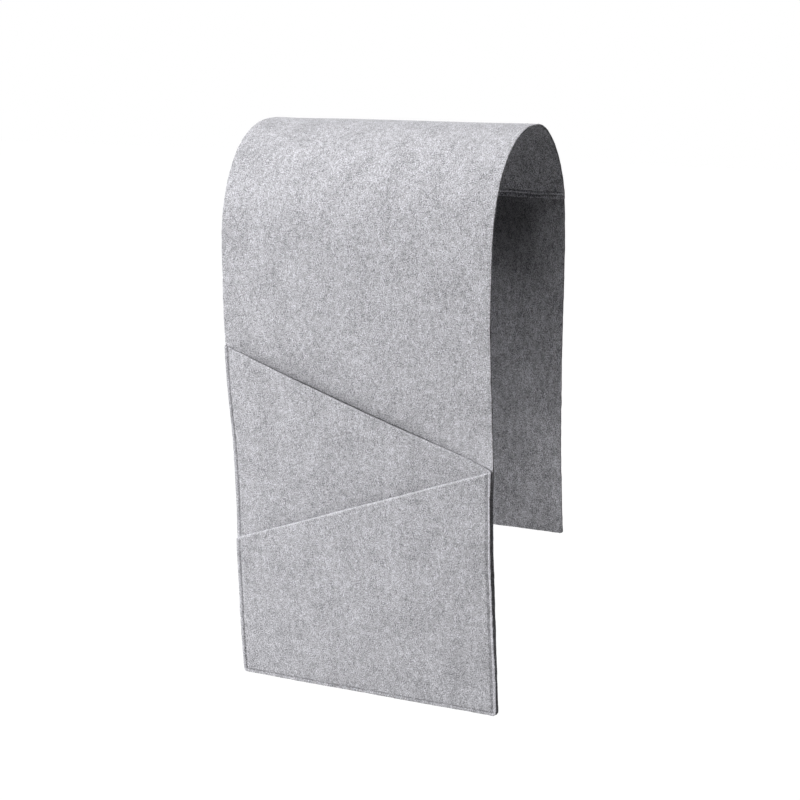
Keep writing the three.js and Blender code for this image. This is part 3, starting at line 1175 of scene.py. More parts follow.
@dataclass(frozen=True)
class PocketSizes:
    """Sizes that the strip and the two pocket panels share."""

    upper_left: float = 312.0 * MM
    upper_right: float = 221.3 * MM
    lower_left: float = 131.5 * MM
    lower_right: float = 223.5 * MM
    upper_rise: float = 3.8 * MM
    rise_power: int = 3
    fall_power: int = 14
    upper_sag: float = 12 * MM
    upper_ease: float = 0.45 * MM
    lower_ease: float = 1.0 * MM
    dip: float = 0.45 * MM
    dip_reach: float = 12 * MM
    # Painted shade above each mouth: its reach, share, lean and how closely it follows the ease.
    upper_painted_shade: float = 8 * MM
    lower_painted_shade: float = 10 * MM
    upper_hollow_share: float = 0.8
    upper_hollow_lean: float = 0.5
    lower_hollow_share: float = 0.375
    # Painted shade on the cut side edges grows over this stretch of stations.
    edge_shade_start: float = 50 * MM
    edge_shade_reach: float = 50 * MM
    ease_rise: float = 90 * MM
    ease_power: float = 1.5
    painted_shade_power: float = 0.35
    mouth_band: float = 4 * MM
    # Painted highlight on the upper lip and on the pockets' rims.
    upper_lip_brushed: float = 0.75
    rim_brushed: float = 0.75
    hem_banks: tuple[float, float] = (0.6 * MM, 1 * MM)
    loose_tension: float = 0.88
    # Painted highlight on the strip above the pockets' right end: its reach and share.
    corner_highlight_reach: float = 22 * MM
    corner_highlight_share: float = 0.5
    left_stray: EdgeStray = EdgeStray.in_mm((0, 195, 250, 312), (0, 0, -0.8, -0.2))
    right_stray: EdgeStray = EdgeStray.in_mm(
        (0, 25, 47, 79, 105, 133, 155, 200, 215),
        (0.5, 0.9, 0.6, -0.5, -1.7, -2.8, -3.0, -2.9, -1.7),
    )
    right_turns: tuple[float, ...] = (50 * MM, 79 * MM, 135 * MM)

    def painted_edge_shade(self, cloth: np.ndarray) -> np.ndarray:
        """Where painted shade darkens the cut side edges, growing with the station."""
        return smooth((cloth[:, 1] - self.edge_shade_start) / self.edge_shade_reach)

    def dip_share(self, above: np.ndarray) -> np.ndarray:
        """How far the felt behind a mouth has dipped inwards.

        Args:
            above: Distances above the mouth, negative behind the pocket.

        Returns:
            A share that grows towards the mouth and is 1 behind the pocket.
        """
        return (1 - np.clip(above / self.dip_reach, 0, 1)) ** 2

    def upper_mouth(self, pattern: Pattern, across: np.ndarray) -> np.ndarray:
        """Stations of the upper mouth, which dips where its right end is sewn down.

        Args:
            pattern: The shared sizes.
            across: Places across the strip.

        Returns:
            The station at each place.
        """
        share = across / pattern.width + 0.5
        rise = self.upper_rise * share**self.rise_power * (1 - share**self.fall_power)
        sag = self.upper_sag * (share * (1 - share)) ** 2
        return self.upper_left + (self.upper_right - self.upper_left) * share + rise - sag

    def lower_mouth(self, pattern: Pattern, across: np.ndarray) -> np.ndarray:
        """Stations of the lower mouth, a straight cut."""
        share = across / pattern.width + 0.5
        return self.lower_left + (self.lower_right - self.lower_left) * share

    def ease(self, pattern: Pattern, cloth: np.ndarray) -> np.ndarray:
        """Share of a pocket's ease: none at its seams and full at mid width.

        Args:
            pattern: The shared sizes.
            cloth: Flat points.

        Returns:
            The share at each point.
        """
        side = np.maximum(1 - (cloth[:, 0] / pattern.seam_across) ** 2, 0) ** self.ease_power
        return side * smooth((cloth[:, 1] - pattern.seam_inset) / self.ease_rise)

    def side_rows(self, pattern: Pattern, left: float, right: float) -> list[StitchRow]:
        """Stitch rows round a pocket: down the left side, along the hem and up the right side.

        Args:
            pattern: The shared sizes.
            left: Station of the row's left end.
            right: Station of its right end.

        Returns:
            The left row, the hem's and the right side's, which turns a little with its edge.
        """
        side, hem, pitch = pattern.seam_across, pattern.seam_inset, pattern.stitch
        places = (hem, *self.right_turns, right)
        turns = [(side + float(self.right_stray.at(place)), place) for place in places]
        loose = {"pitch": pitch, "tension": self.loose_tension}
        rim_bank, inner_bank = self.hem_banks
        across_hem = StitchRow((-side, hem), turns[0], rim_bank=rim_bank, inner_bank=inner_bank, **loose)
        right_side = [StitchRow(low, high, **loose) for low, high in zip(turns, turns[1:])]
        return [StitchRow((-side, left), (-side, hem), pitch), across_hem, *right_side]


@dataclass(frozen=True)
class MainStrip(FeltSheet):
    """The long strip: front leg, crown and the tail that ends inside the rear seam."""

    pockets: PocketSizes = PocketSizes()

    @property
    def tail_end(self) -> float:
        """Station of the tail's cut end."""
        return self.line.rear_station(self.pattern.tail_drop)

    def tail_edge(self, across: np.ndarray) -> np.ndarray:
        """Stations of the tail's cut end, which slants a little like its seam."""
        return self.tail_end + self.pattern.rear_slant * across / self.pattern.half_width

    def rear_rows(self) -> list[StitchRow]:
        """Places the stitches through the tail and the rear panel.

        Returns:
            The rows, from the upper to the lower.
        """
        pattern = self.pattern
        end = pattern.half_width - pattern.row_end
        first = self.tail_end - pattern.rear_overlap + pattern.rear_row_inset
        stations = first + pattern.rear_row_spacing * np.arange(pattern.rear_row_count)
        slant, bank, wander = pattern.rear_slant, pattern.rear_bank, pattern.rear_wander
        return [
            StitchRow((-end, station - slant), (end, station + slant), pattern.stitch, bank, bank, wander)
            for station in stations
        ]

    def rows(self) -> np.ndarray:
        """Places the grid's rows.

        Returns:
            Their shares: close in the pocket zone and at the tail, wide over the crown.
        """
        pattern, pockets = self.pattern, self.pockets
        tail_start = self.tail_end - pattern.rear_overlap - pattern.stitch
        hem = self.hem_rows(pockets.upper_left)
        arch_steps = math.ceil((tail_start - pockets.upper_left) / pattern.arch_step)
        arch = np.linspace(pockets.upper_left, tail_start, arch_steps + 1)[1:]
        tail_steps = math.ceil((self.tail_end - tail_start) / pattern.rear_seam_step)
        tail = np.linspace(tail_start, self.tail_end, tail_steps + 1)[1:]
        return np.concatenate([hem, arch, tail]) / self.tail_end

    def bottom(self, across: np.ndarray) -> np.ndarray:
        """The front hem, with its rounded corners, the right one hanging a little lower.

        Args:
            across: Places across the strip.

        Returns:
            The station at each place.
        """
        pattern = self.pattern
        drop = pattern.corner_drop * smooth(1 + (across - pattern.half_width) / pattern.corner_drop_reach)
        return self.hem_lift(across) - drop

    def top(self, across: np.ndarray) -> np.ndarray:
        """The tail's cut end."""
        return self.tail_edge(across)

    def refine(self, sheet: bpy.types.Object) -> None:
        """Splits the tail's crosswise edges for the rear seam."""
        low = self.tail_end - self.pattern.rear_overlap - self.pattern.stitch
        self.split_crosswise(sheet, low, self.line.length)

    def lay(self, cloth: np.ndarray) -> np.ndarray:
        """Heights of the outer face, dipped behind the pockets and curled at the tail's cut end.

        Args:
            cloth: Flat points.

        Returns:
            The out value of each.
        """
        pockets, pattern = self.pockets, self.pattern
        above = cloth[:, 1] - pockets.upper_mouth(pattern, cloth[:, 0])
        dip = pockets.dip * pockets.dip_share(above) * pockets.ease(pattern, cloth)
        curl = smooth(1 - (self.tail_edge(cloth[:, 0]) - cloth[:, 1]) / pattern.tail_curl_reach)
        return -dip - pattern.tail_curl * curl

    def side_shade(self, cloth: np.ndarray) -> np.ndarray:
        """Painted shade on the cut edge beside the pockets and on the rear side.

        Args:
            cloth: Flat points.

        Returns:
            The share of the shade at each.
        """
        pattern = self.pattern
        above = cloth[:, 1] - self.pockets.upper_mouth(pattern, cloth[:, 0])
        beside = (1 - smooth(above / pattern.stray_reach)) * self.pockets.painted_edge_shade(cloth)
        rear = smooth((cloth[:, 1] - pattern.rear_shade_start) / pattern.rear_shade_reach)
        return pattern.painted_edge_shade_share * beside + rear

    def painted_shade(self, cloth: np.ndarray) -> np.ndarray:
        """Painted shade on the felt above the upper mouth, most at mid width.

        Args:
            cloth: Flat points.

        Returns:
            The share of the shade at each.
        """
        pockets = self.pockets
        above = np.maximum(cloth[:, 1] - pockets.upper_mouth(self.pattern, cloth[:, 0]), 0)
        lean = 1 - pockets.upper_hollow_lean * cloth[:, 0] / self.pattern.half_width
        shade = np.minimum(pockets.upper_hollow_share * lean, 1) * np.exp(-above / pockets.upper_painted_shade)
        width = pockets.ease(self.pattern, cloth) ** pockets.painted_shade_power
        return shade * width * (1 - self.inward(cloth))

    def brushed(self, cloth: np.ndarray) -> np.ndarray:
        """Painted highlight on the ridge between the rear seam's rows and on the corner above the
        pockets' right end.

        Args:
            cloth: Flat points.

        Returns:
            How strong the painted highlight is at each.
        """
        pockets = self.pockets
        inward = self.inward(cloth)
        above = cloth[:, 1] - pockets.upper_mouth(self.pattern, cloth[:, 0])
        right_side = smooth(cloth[:, 0] / self.pattern.half_width * 2 - 1)
        near = np.exp(-((above / pockets.corner_highlight_reach) ** 2)) * right_side
        ridge = np.mean([row.start[1] + row.end[1] for row in self.rear_rows()]) / 2
        slant = self.pattern.rear_slant * cloth[:, 0] / self.pattern.half_width
        aside = (cloth[:, 1] - ridge - slant) / (self.pattern.rear_row_spacing / 3)
        return np.exp(-(aside**2)) * inward + pockets.corner_highlight_share * near * (1 - inward)

    def stitches(self, side: Side) -> list[StitchRow]:
        """The pocket seam and the rear seam press the inner face.

        Args:
            side: Which face.

        Returns:
            The rows that press it.
        """
        if side is Side.OUTER:
            return []
        inset = self.pattern.row_end
        pockets = self.pockets
        rows = pockets.side_rows(self.pattern, pockets.upper_left - inset, pockets.upper_right - inset)
        return rows + self.rear_rows()

    def shows(self, cloth: np.ndarray, side: Side) -> np.ndarray:
        """The outer face is covered by the pockets and by the rear panel.

        Args:
            cloth: Flat points.
            side: Which face.

        Returns:
            0 or 1 for each.
        """
        if side is Side.INNER:
            return np.ones(len(cloth))
        above = cloth[:, 1] > self.pockets.upper_mouth(self.pattern, cloth[:, 0])
        before = cloth[:, 1] < self.tail_edge(cloth[:, 0]) - self.pattern.rear_overlap
        return (above & before).astype(float)


@dataclass(frozen=True)
class PocketPanel(FeltSheet):
    """A pocket panel, sewn down at its sides and hem and open at its slanted mouth."""

    pockets: PocketSizes = PocketSizes()
    level: int = 0

    @property
    def is_lower(self) -> bool:
        """Whether this is the front panel of the two."""
        return self.level == 1

    def rows(self) -> np.ndarray:
        """Places the grid's rows.

        Returns:
            Their shares, close beside the hem seam and near the mouth.
        """
        pockets = self.pockets
        lower = (pockets.lower_left, pockets.lower_right)
        upper = (pockets.upper_left, pockets.upper_right)
        middle = sum(lower if self.is_lower else upper) / 2
        lip = middle - self.pattern.lip_reach * np.linspace(1, 0, self.pattern.lip_rows)
        below = self.hem_rows(middle)
        return np.concatenate([below[below < lip[0] - self.pattern.fine_step], lip]) / middle

    def bottom(self, across: np.ndarray) -> np.ndarray:
        """The hem, with its rounded corners."""
        return self.hem_lift(across)

    def top(self, across: np.ndarray) -> np.ndarray:
        """The slanted mouth."""
        mouth = self.pockets.lower_mouth if self.is_lower else self.pockets.upper_mouth
        return mouth(self.pattern, across)

    def lay(self, cloth: np.ndarray) -> np.ndarray:
        """Heights of the outer face: one layer or two over the strip, and bulging at mid width.

        Args:
            cloth: Flat points.

        Returns:
            The out value of each.
        """
        ply = self.pattern.thickness + self.pattern.ply_gap
        pockets = self.pockets
        if self.is_lower:
            ease = pockets.lower_ease
        else:
            above = cloth[:, 1] - pockets.lower_mouth(self.pattern, cloth[:, 0])
            ease = pockets.upper_ease - pockets.dip * pockets.dip_share(above)
        return ply * (self.level + 1) + ease * pockets.ease(self.pattern, cloth)

    def side_shade(self, cloth: np.ndarray) -> np.ndarray:
        """Painted shade on the cut edge, growing with the station."""
        return self.pattern.painted_edge_shade_share * self.pockets.painted_edge_shade(cloth)

    def brushed(self, cloth: np.ndarray) -> np.ndarray:
        """Painted highlight on the lips and the rims, the lower lip most.

        Args:
            cloth: Flat points.

        Returns:
            How strong the painted highlight is at each.
        """
        pattern, pockets = self.pattern, self.pockets
        outer = 1 - self.inward(cloth) / 2
        lip = 1 - smooth((self.top(cloth[:, 0]) - cloth[:, 1]) / pattern.lip_reach)
        rim = 1 - smooth((self.side_distance(cloth) - pattern.rim_radius) / pattern.seam_inset)
        off_side = smooth(self.side_distance(cloth) / pattern.rim_radius)
        lip_share = 1 if self.is_lower else pockets.upper_lip_brushed
        return np.maximum(lip * lip_share, pockets.rim_brushed * rim * off_side) * outer

    def painted_shade(self, cloth: np.ndarray) -> np.ndarray:
        """Painted shade on the upper panel above the lower mouth, most at mid width.

        Args:
            cloth: Flat points.

        Returns:
            The share of the shade at each.
        """
        if self.is_lower:
            return np.zeros(len(cloth))
        pockets = self.pockets
        above = np.maximum(cloth[:, 1] - pockets.lower_mouth(self.pattern, cloth[:, 0]), 0)
        shade = pockets.lower_hollow_share * np.exp(-above / pockets.lower_painted_shade)
        return shade * pockets.ease(self.pattern, cloth) ** pockets.painted_shade_power

    def lip(self, cloth: np.ndarray) -> np.ndarray:
        """Share by which the mouth's lip is rolled in, most at its cut edge."""
        distance = np.maximum(self.top(cloth[:, 0]) - cloth[:, 1], 0)
        return np.maximum(1 - distance / self.pattern.lip_reach, 0) ** 2

    def stitches(self, side: Side) -> list[StitchRow]:
        """The pocket seam presses the outer face where it is uncovered.

        Args:
            side: Which face.

        Returns:
            The rows that press it.
        """
        inset = self.pattern.row_end
        pockets = self.pockets
        if side is Side.INNER:
            return []
        if self.is_lower:
            left, right = pockets.lower_left - inset, pockets.lower_right - inset
            return pockets.side_rows(self.pattern, left, right)
        across = -self.pattern.seam_across
        top, low = pockets.upper_left - inset, pockets.lower_left + inset
        return [StitchRow((across, top), (across, low), self.pattern.stitch)]

    def shows(self, cloth: np.ndarray, side: Side) -> np.ndarray:
        """A face is covered by the other panel or by the strip, apart from a band at the mouth.

        Args:
            cloth: Flat points.
            side: Which face.

        Returns:
            0 or 1 for each.
        """
        if side is Side.INNER:
            return (cloth[:, 1] > self.top(cloth[:, 0]) - self.pockets.mouth_band).astype(float)
        if self.is_lower:
            return np.ones(len(cloth))
        return (cloth[:, 1] > self.pockets.lower_mouth(self.pattern, cloth[:, 0])).astype(float)

    def halve(self, sheet: bpy.types.Object, half: Half) -> bpy.types.Object:
        """Copies one half of the panel, closed along the middle.

        Args:
            sheet: The whole panel.
            half: Which half to keep.

        Returns:
            The half as a new object.
        """
        piece = sheet.copy()
        piece.data = sheet.data.copy()
        piece.name = f"{self.name}_{half.name.lower()}"
        bpy.context.scene.collection.objects.link(piece)
        make_active(piece)
        bpy.ops.object.mode_set(mode="EDIT")
        bpy.ops.mesh.select_all(action="SELECT")
        bpy.ops.mesh.bisect(
            plane_co=(0, 0, 0),
            plane_no=(-half.value, 0, 0),
            use_fill=True,
            clear_outer=True,
            threshold=MERGE_DISTANCE,
        )
        bpy.ops.object.mode_set(mode="OBJECT")
        shade_smooth(piece)
        return piece


@dataclass(frozen=True)
class RearPanel(FeltSheet):
    """The rear leg: a second length of felt, sewn over the strip's tail."""

    strip: MainStrip | None = None
    inner_coarse: float = 0.38
    # Painted shade on the inner face below the tail's cut end: where it starts, how far it reaches and
    # how it fades to the right.
    painted_shade_start: float = 18 * MM
    painted_shade_reach: float = 90 * MM
    painted_shade_side: float = 76 * MM
    painted_shade_fade: float = 40 * MM
    painted_shade_fade_share: float = 0.69
    hem_trim: float = 0.4 * MM

    def painted_shade(self, cloth: np.ndarray) -> np.ndarray:
        """Painted shade on the inner face below the tail's cut end, less towards the right side.

        Args:
            cloth: Flat points.

        Returns:
            The share of the shade at each.
        """
        below = cloth[:, 1] - self.strip.tail_edge(cloth[:, 0])
        depth = 1 - smooth((below - self.painted_shade_start) / self.painted_shade_reach)
        share = 1 - self.painted_shade_fade_share * smooth((cloth[:, 0] - self.painted_shade_side) / self.painted_shade_fade)
        return depth * share * self.inward(cloth)

    @property
    def head(self) -> float:
        """Station of the panel's upper cut edge."""
        return self.strip.tail_end - self.pattern.rear_overlap

    def rows(self) -> np.ndarray:
        """Places the grid's rows.

        Returns:
            Their shares: close at the seam, wide below it.
        """
        pattern = self.pattern
        seam_end = pattern.rear_overlap + pattern.stitch
        seam_steps = math.ceil(seam_end / pattern.rear_seam_step)
        leg = self.line.length - self.head
        leg_steps = math.ceil((leg - seam_end) / pattern.rear_leg_step)
        seam = np.linspace(0, seam_end, seam_steps + 1)
        return np.concatenate([seam, np.linspace(seam_end, leg, leg_steps + 1)[1:]]) / leg

    def bottom(self, across: np.ndarray) -> np.ndarray:
        """The panel's upper cut edge, which comes first along the line."""
        return self.strip.tail_edge(across) - self.pattern.rear_overlap

    def top(self, across: np.ndarray) -> np.ndarray:
        """The rear hem, with its rounded corners."""
        return self.line.length - self.hem_trim - self.hem_lift(across) / 2

    def refine(self, sheet: bpy.types.Object) -> None:
        """Splits the head's crosswise edges for the rear seam."""
        self.split_crosswise(sheet, 0, self.head + self.pattern.rear_overlap + self.pattern.stitch)

    def lay(self, cloth: np.ndarray) -> np.ndarray:
        """Heights of the outer face, one layer over the tail."""
        return np.full(len(cloth), self.pattern.thickness + self.pattern.ply_gap)

    def stitches(self, side: Side) -> list[StitchRow]:
        """The rear seam presses the outer face."""
        return self.strip.rear_rows() if side is Side.OUTER else []

    def shows(self, cloth: np.ndarray, side: Side) -> np.ndarray:
        """The inner face is covered by the strip's tail.

        Args:
            cloth: Flat points.
            side: Which face.

        Returns:
            0 or 1 for each.
        """
        if side is Side.OUTER:
            return np.ones(len(cloth))
        return (cloth[:, 1] > self.strip.tail_edge(cloth[:, 0])).astype(float)


@dataclass(frozen=True)
class SeamThread:
    """One thread of a lockstitched seam: it lies on a face and dips into each hole."""

    name: str
    sheet: FeltSheet
    side: Side
    rows: tuple[StitchRow, ...]
    radius: float = 0.27 * MM
    sink: float = 0.75 * MM
    step: float = 0.4 * MM
    sides: int = 9
    plies: int = 3
    ply_depth_share: float = 0.2
    twist: float = 1.5 * MM
    steps_a_stitch: int = 6
    lift_share: float = 0.75
    swing_power: float = 0.6

    def route(self) -> tuple[np.ndarray, np.ndarray]:
        """The thread's middle line.

        Returns:
            Its draped points and the outward direction of the cloth at each.
        """
        sign = 1 if self.side is Side.OUTER else -1
        flats, heights = [], []
        for index, row in enumerate(self.rows):
            count = max(round(row.length / self.step), row.count * self.steps_a_stitch)
            share = np.linspace(0, 1, count + 1)[min(index, 1):]
            swing = np.abs(np.sin(math.pi * row.count * share)) ** self.swing_power
            flats.append(row.point(share))
            heights.append(self.radius * self.lift_share - self.sink * (1 - swing))
        flat = np.concatenate(flats)
        cloth = np.column_stack([flat, np.zeros(len(flat))])
        cloth[:, 2] = self.sheet.face(cloth, self.side) + sign * np.concatenate(heights)
        return self.sheet.line.place(cloth), sign * self.sheet.line.outward(flat[:, 1])

    def build(self, finish: bpy.types.Material) -> bpy.types.Object:
        """Sweeps the plied section along the route.

        Args:
            finish: The thread's material.

        Returns:
            The thread, closed at both ends.
        """
        points, outward = self.route()
        along = np.gradient(points, axis=0)
        along /= np.linalg.norm(along, axis=1, keepdims=True)
        across = np.cross(along, outward)
        across /= np.linalg.norm(across, axis=1, keepdims=True)
        out = np.cross(across, along)
        travel = np.concatenate([[0], np.cumsum(np.linalg.norm(np.diff(points, axis=0), axis=1))])
        angle = np.linspace(0, 2 * math.pi, self.sides, endpoint=False)[None, :]
        lobe = np.cos(self.plies * angle - 2 * math.pi * travel[:, None] / self.twist)
        radius = self.radius * (1 - self.ply_depth_share * (1 - lobe) / 2)
        ring = across[:, None, :] * (radius * np.cos(angle))[:, :, None]
        ring = ring + out[:, None, :] * (radius * np.sin(angle))[:, :, None]
        places = (points[:, None, :] + ring).reshape(-1, 3)
        faces = self.skin(len(points))
        thread = mesh_object(self.name, places, faces)
        store(thread, "ply", (lobe / 2 + 0.5).ravel())
        around = np.broadcast_to(angle * self.radius, lobe.shape)
        length = np.broadcast_to(travel[:, None], lobe.shape)
        store(thread, "strand", np.stack([length, around, 0 * length], axis=2).reshape(-1, 3))
        shade_smooth(thread)
        thread.data.materials.append(finish)
        log.info("%s: %d faces, %.0f mm", thread.name, len(thread.data.polygons), travel[-1] / MM)
        return thread

    def skin(self, count: int) -> list[tuple[int, ...]]:
        """Faces of the swept section.

        Args:
            count: How many rings there are.

        Returns:
            Vertex numbers of the quads and the two end caps.
        """
        sides = self.sides
        faces = []
        for ring in range(count - 1):
            for side in range(sides):
                a = ring * sides + side
                b = ring * sides + (side + 1) % sides
                faces.append((a, b, b + sides, a + sides))
        faces.append(tuple(reversed(range(sides))))
        faces.append(tuple(range((count - 1) * sides, count * sides)))
        return faces


@dataclass(frozen=True)
class Fuzz:
    """Loose fibres rooted in a sheet, thick along its cut edges."""

    per_square_metre: float = 38000
    edge_gain: float = 9
    shortest: float = 0.6 * MM
    longest: float = 2.1 * MM
    radius: float = 0.024 * MM
    root_depth: float = 0.1 * MM
    flattest: float = math.radians(82)
    steepest: float = math.radians(25)
    curl_share: float = 0.35
    tip_curl_share: float = 0.2
    arch_share: float = 0.12
    taper_share: float = 0.8
    rim_shorter: float = 0.35
    middle_seam: float = 0.2 * MM
    middle_facing: float = 0.9
    seed_step: int = 100
    seed_spread: int = 97

    def roots(
        self, sheet: bpy.types.Object, felt: FeltSheet, chance: np.random.Generator
    ) -> tuple[np.ndarray, np.ndarray, np.ndarray]:
        """Chooses where fibres grow.

        Args:
            sheet: The draped sheet.
            felt: What says where it is uncovered.
            chance: The seeded source of all choices.

        Returns:
            Root points, outward directions and how near an edge each root is.
        """
        mesh = sheet.data
        mesh.calc_loop_triangles()
        corners = np.empty(len(mesh.loop_triangles) * 3, dtype=np.int64)
        mesh.loop_triangles.foreach_get("vertices", corners)
        corners = corners.reshape(-1, 3)
        places, cloth = coordinates(sheet), recall(sheet, "cloth", 3) - [0, felt.seed, 0]
        a, b, c = (places[corners[:, i]] for i in range(3))
        normal = np.cross(b - a, c - a)
        area = np.linalg.norm(normal, axis=1) / 2
        normal /= np.maximum(2 * area[:, None], SMALLEST_AREA)
        flat = cloth[corners].mean(1)
        rim = recall(sheet, "rim", 1)[corners].mean(1)
        inward = recall(sheet, "inward", 1)[corners].mean(1)
        uncovered = np.where(inward < 0.5, felt.shows(flat, Side.OUTER), felt.shows(flat, Side.INNER))
        closing = (np.abs(flat[:, 0]) < self.middle_seam) & (np.abs(normal[:, 0]) > self.middle_facing)
        weight = area * uncovered * (1 + self.edge_gain * rim**2) * ~closing
        count = int(weight.sum() * self.per_square_metre)
        chosen = chance.choice(len(weight), count, p=weight / weight.sum())
        u, v = chance.random(count), chance.random(count)
        over = u + v > 1
        u[over], v[over] = 1 - u[over], 1 - v[over]
        point = a[chosen] + u[:, None] * (b - a)[chosen] + v[:, None] * (c - a)[chosen]
        return point, normal[chosen], rim[chosen]

    def grow(
        self, sheet: bpy.types.Object, felt: FeltSheet, finish: bpy.types.Material
    ) -> bpy.types.Object:
        """Grows the fibres as thin curved spikes, each a closed body.

        Args:
            sheet: The draped sheet.
            felt: What says where it is uncovered.
            finish: The fibres' material.

        Returns:
            All of them as one object.
        """
        seed = felt.seed * self.seed_step + len(sheet.data.vertices) % self.seed_spread
        chance = np.random.default_rng(seed)
        point, normal, rim = self.roots(sheet, felt, chance)
        count = len(point)
        side = np.cross(normal, chance.normal(size=(count, 3)))
        side /= np.linalg.norm(side, axis=1, keepdims=True)
        other = np.cross(normal, side)
        tilt = chance.uniform(self.steepest, self.flattest, count)
        length = chance.uniform(self.shortest, self.longest, count) * (1 - self.rim_shorter * rim)
        lean = np.sin(tilt)[:, None] * side + np.cos(tilt)[:, None] * normal
        curl = self.curl_share * chance.uniform(-1, 1, count)[:, None] * other
        root = point - self.root_depth * normal
        middle = point + length[:, None] * (lean / 2 + curl / 2 + self.arch_share * normal)
        tip = point + length[:, None] * (lean + self.tip_curl_share * curl)
        spikes = np.empty((count, SPIKE_POINTS, 3))
        for corner in range(3):
            turn = 2 * math.pi * corner / 3
            off = self.radius * (math.cos(turn) * other + math.sin(turn) * np.cross(other, lean))
            spikes[:, corner] = root + off
            spikes[:, 3 + corner] = middle + self.taper_share * off
        spikes[:, -1] = tip
        starts = range(0, count * SPIKE_POINTS, SPIKE_POINTS)
        faces = [tuple(start + point for point in face) for start in starts for face in SPIKE_FACES]
        fuzz = mesh_object(f"{sheet.name}_fuzz", spikes.reshape(-1, 3), faces)
        store(fuzz, "tone", np.repeat(chance.random(count), SPIKE_POINTS))
        fuzz.data.materials.append(finish)
        log.info("%s: %d fibres", fuzz.name, count)
        return fuzz


@dataclass(frozen=True)
class Bend:
    """A stretch between two bodies of the frame; nothing is bent over it."""

    first: str
    second: str
    start: tuple[float, float, float]
    end: tuple[float, float, float]

    def apply(self, *pieces: bpy.types.Object) -> None:
        """Bakes each piece's transform into its mesh; the stretch is not used."""
        for piece in pieces:
            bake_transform(piece)


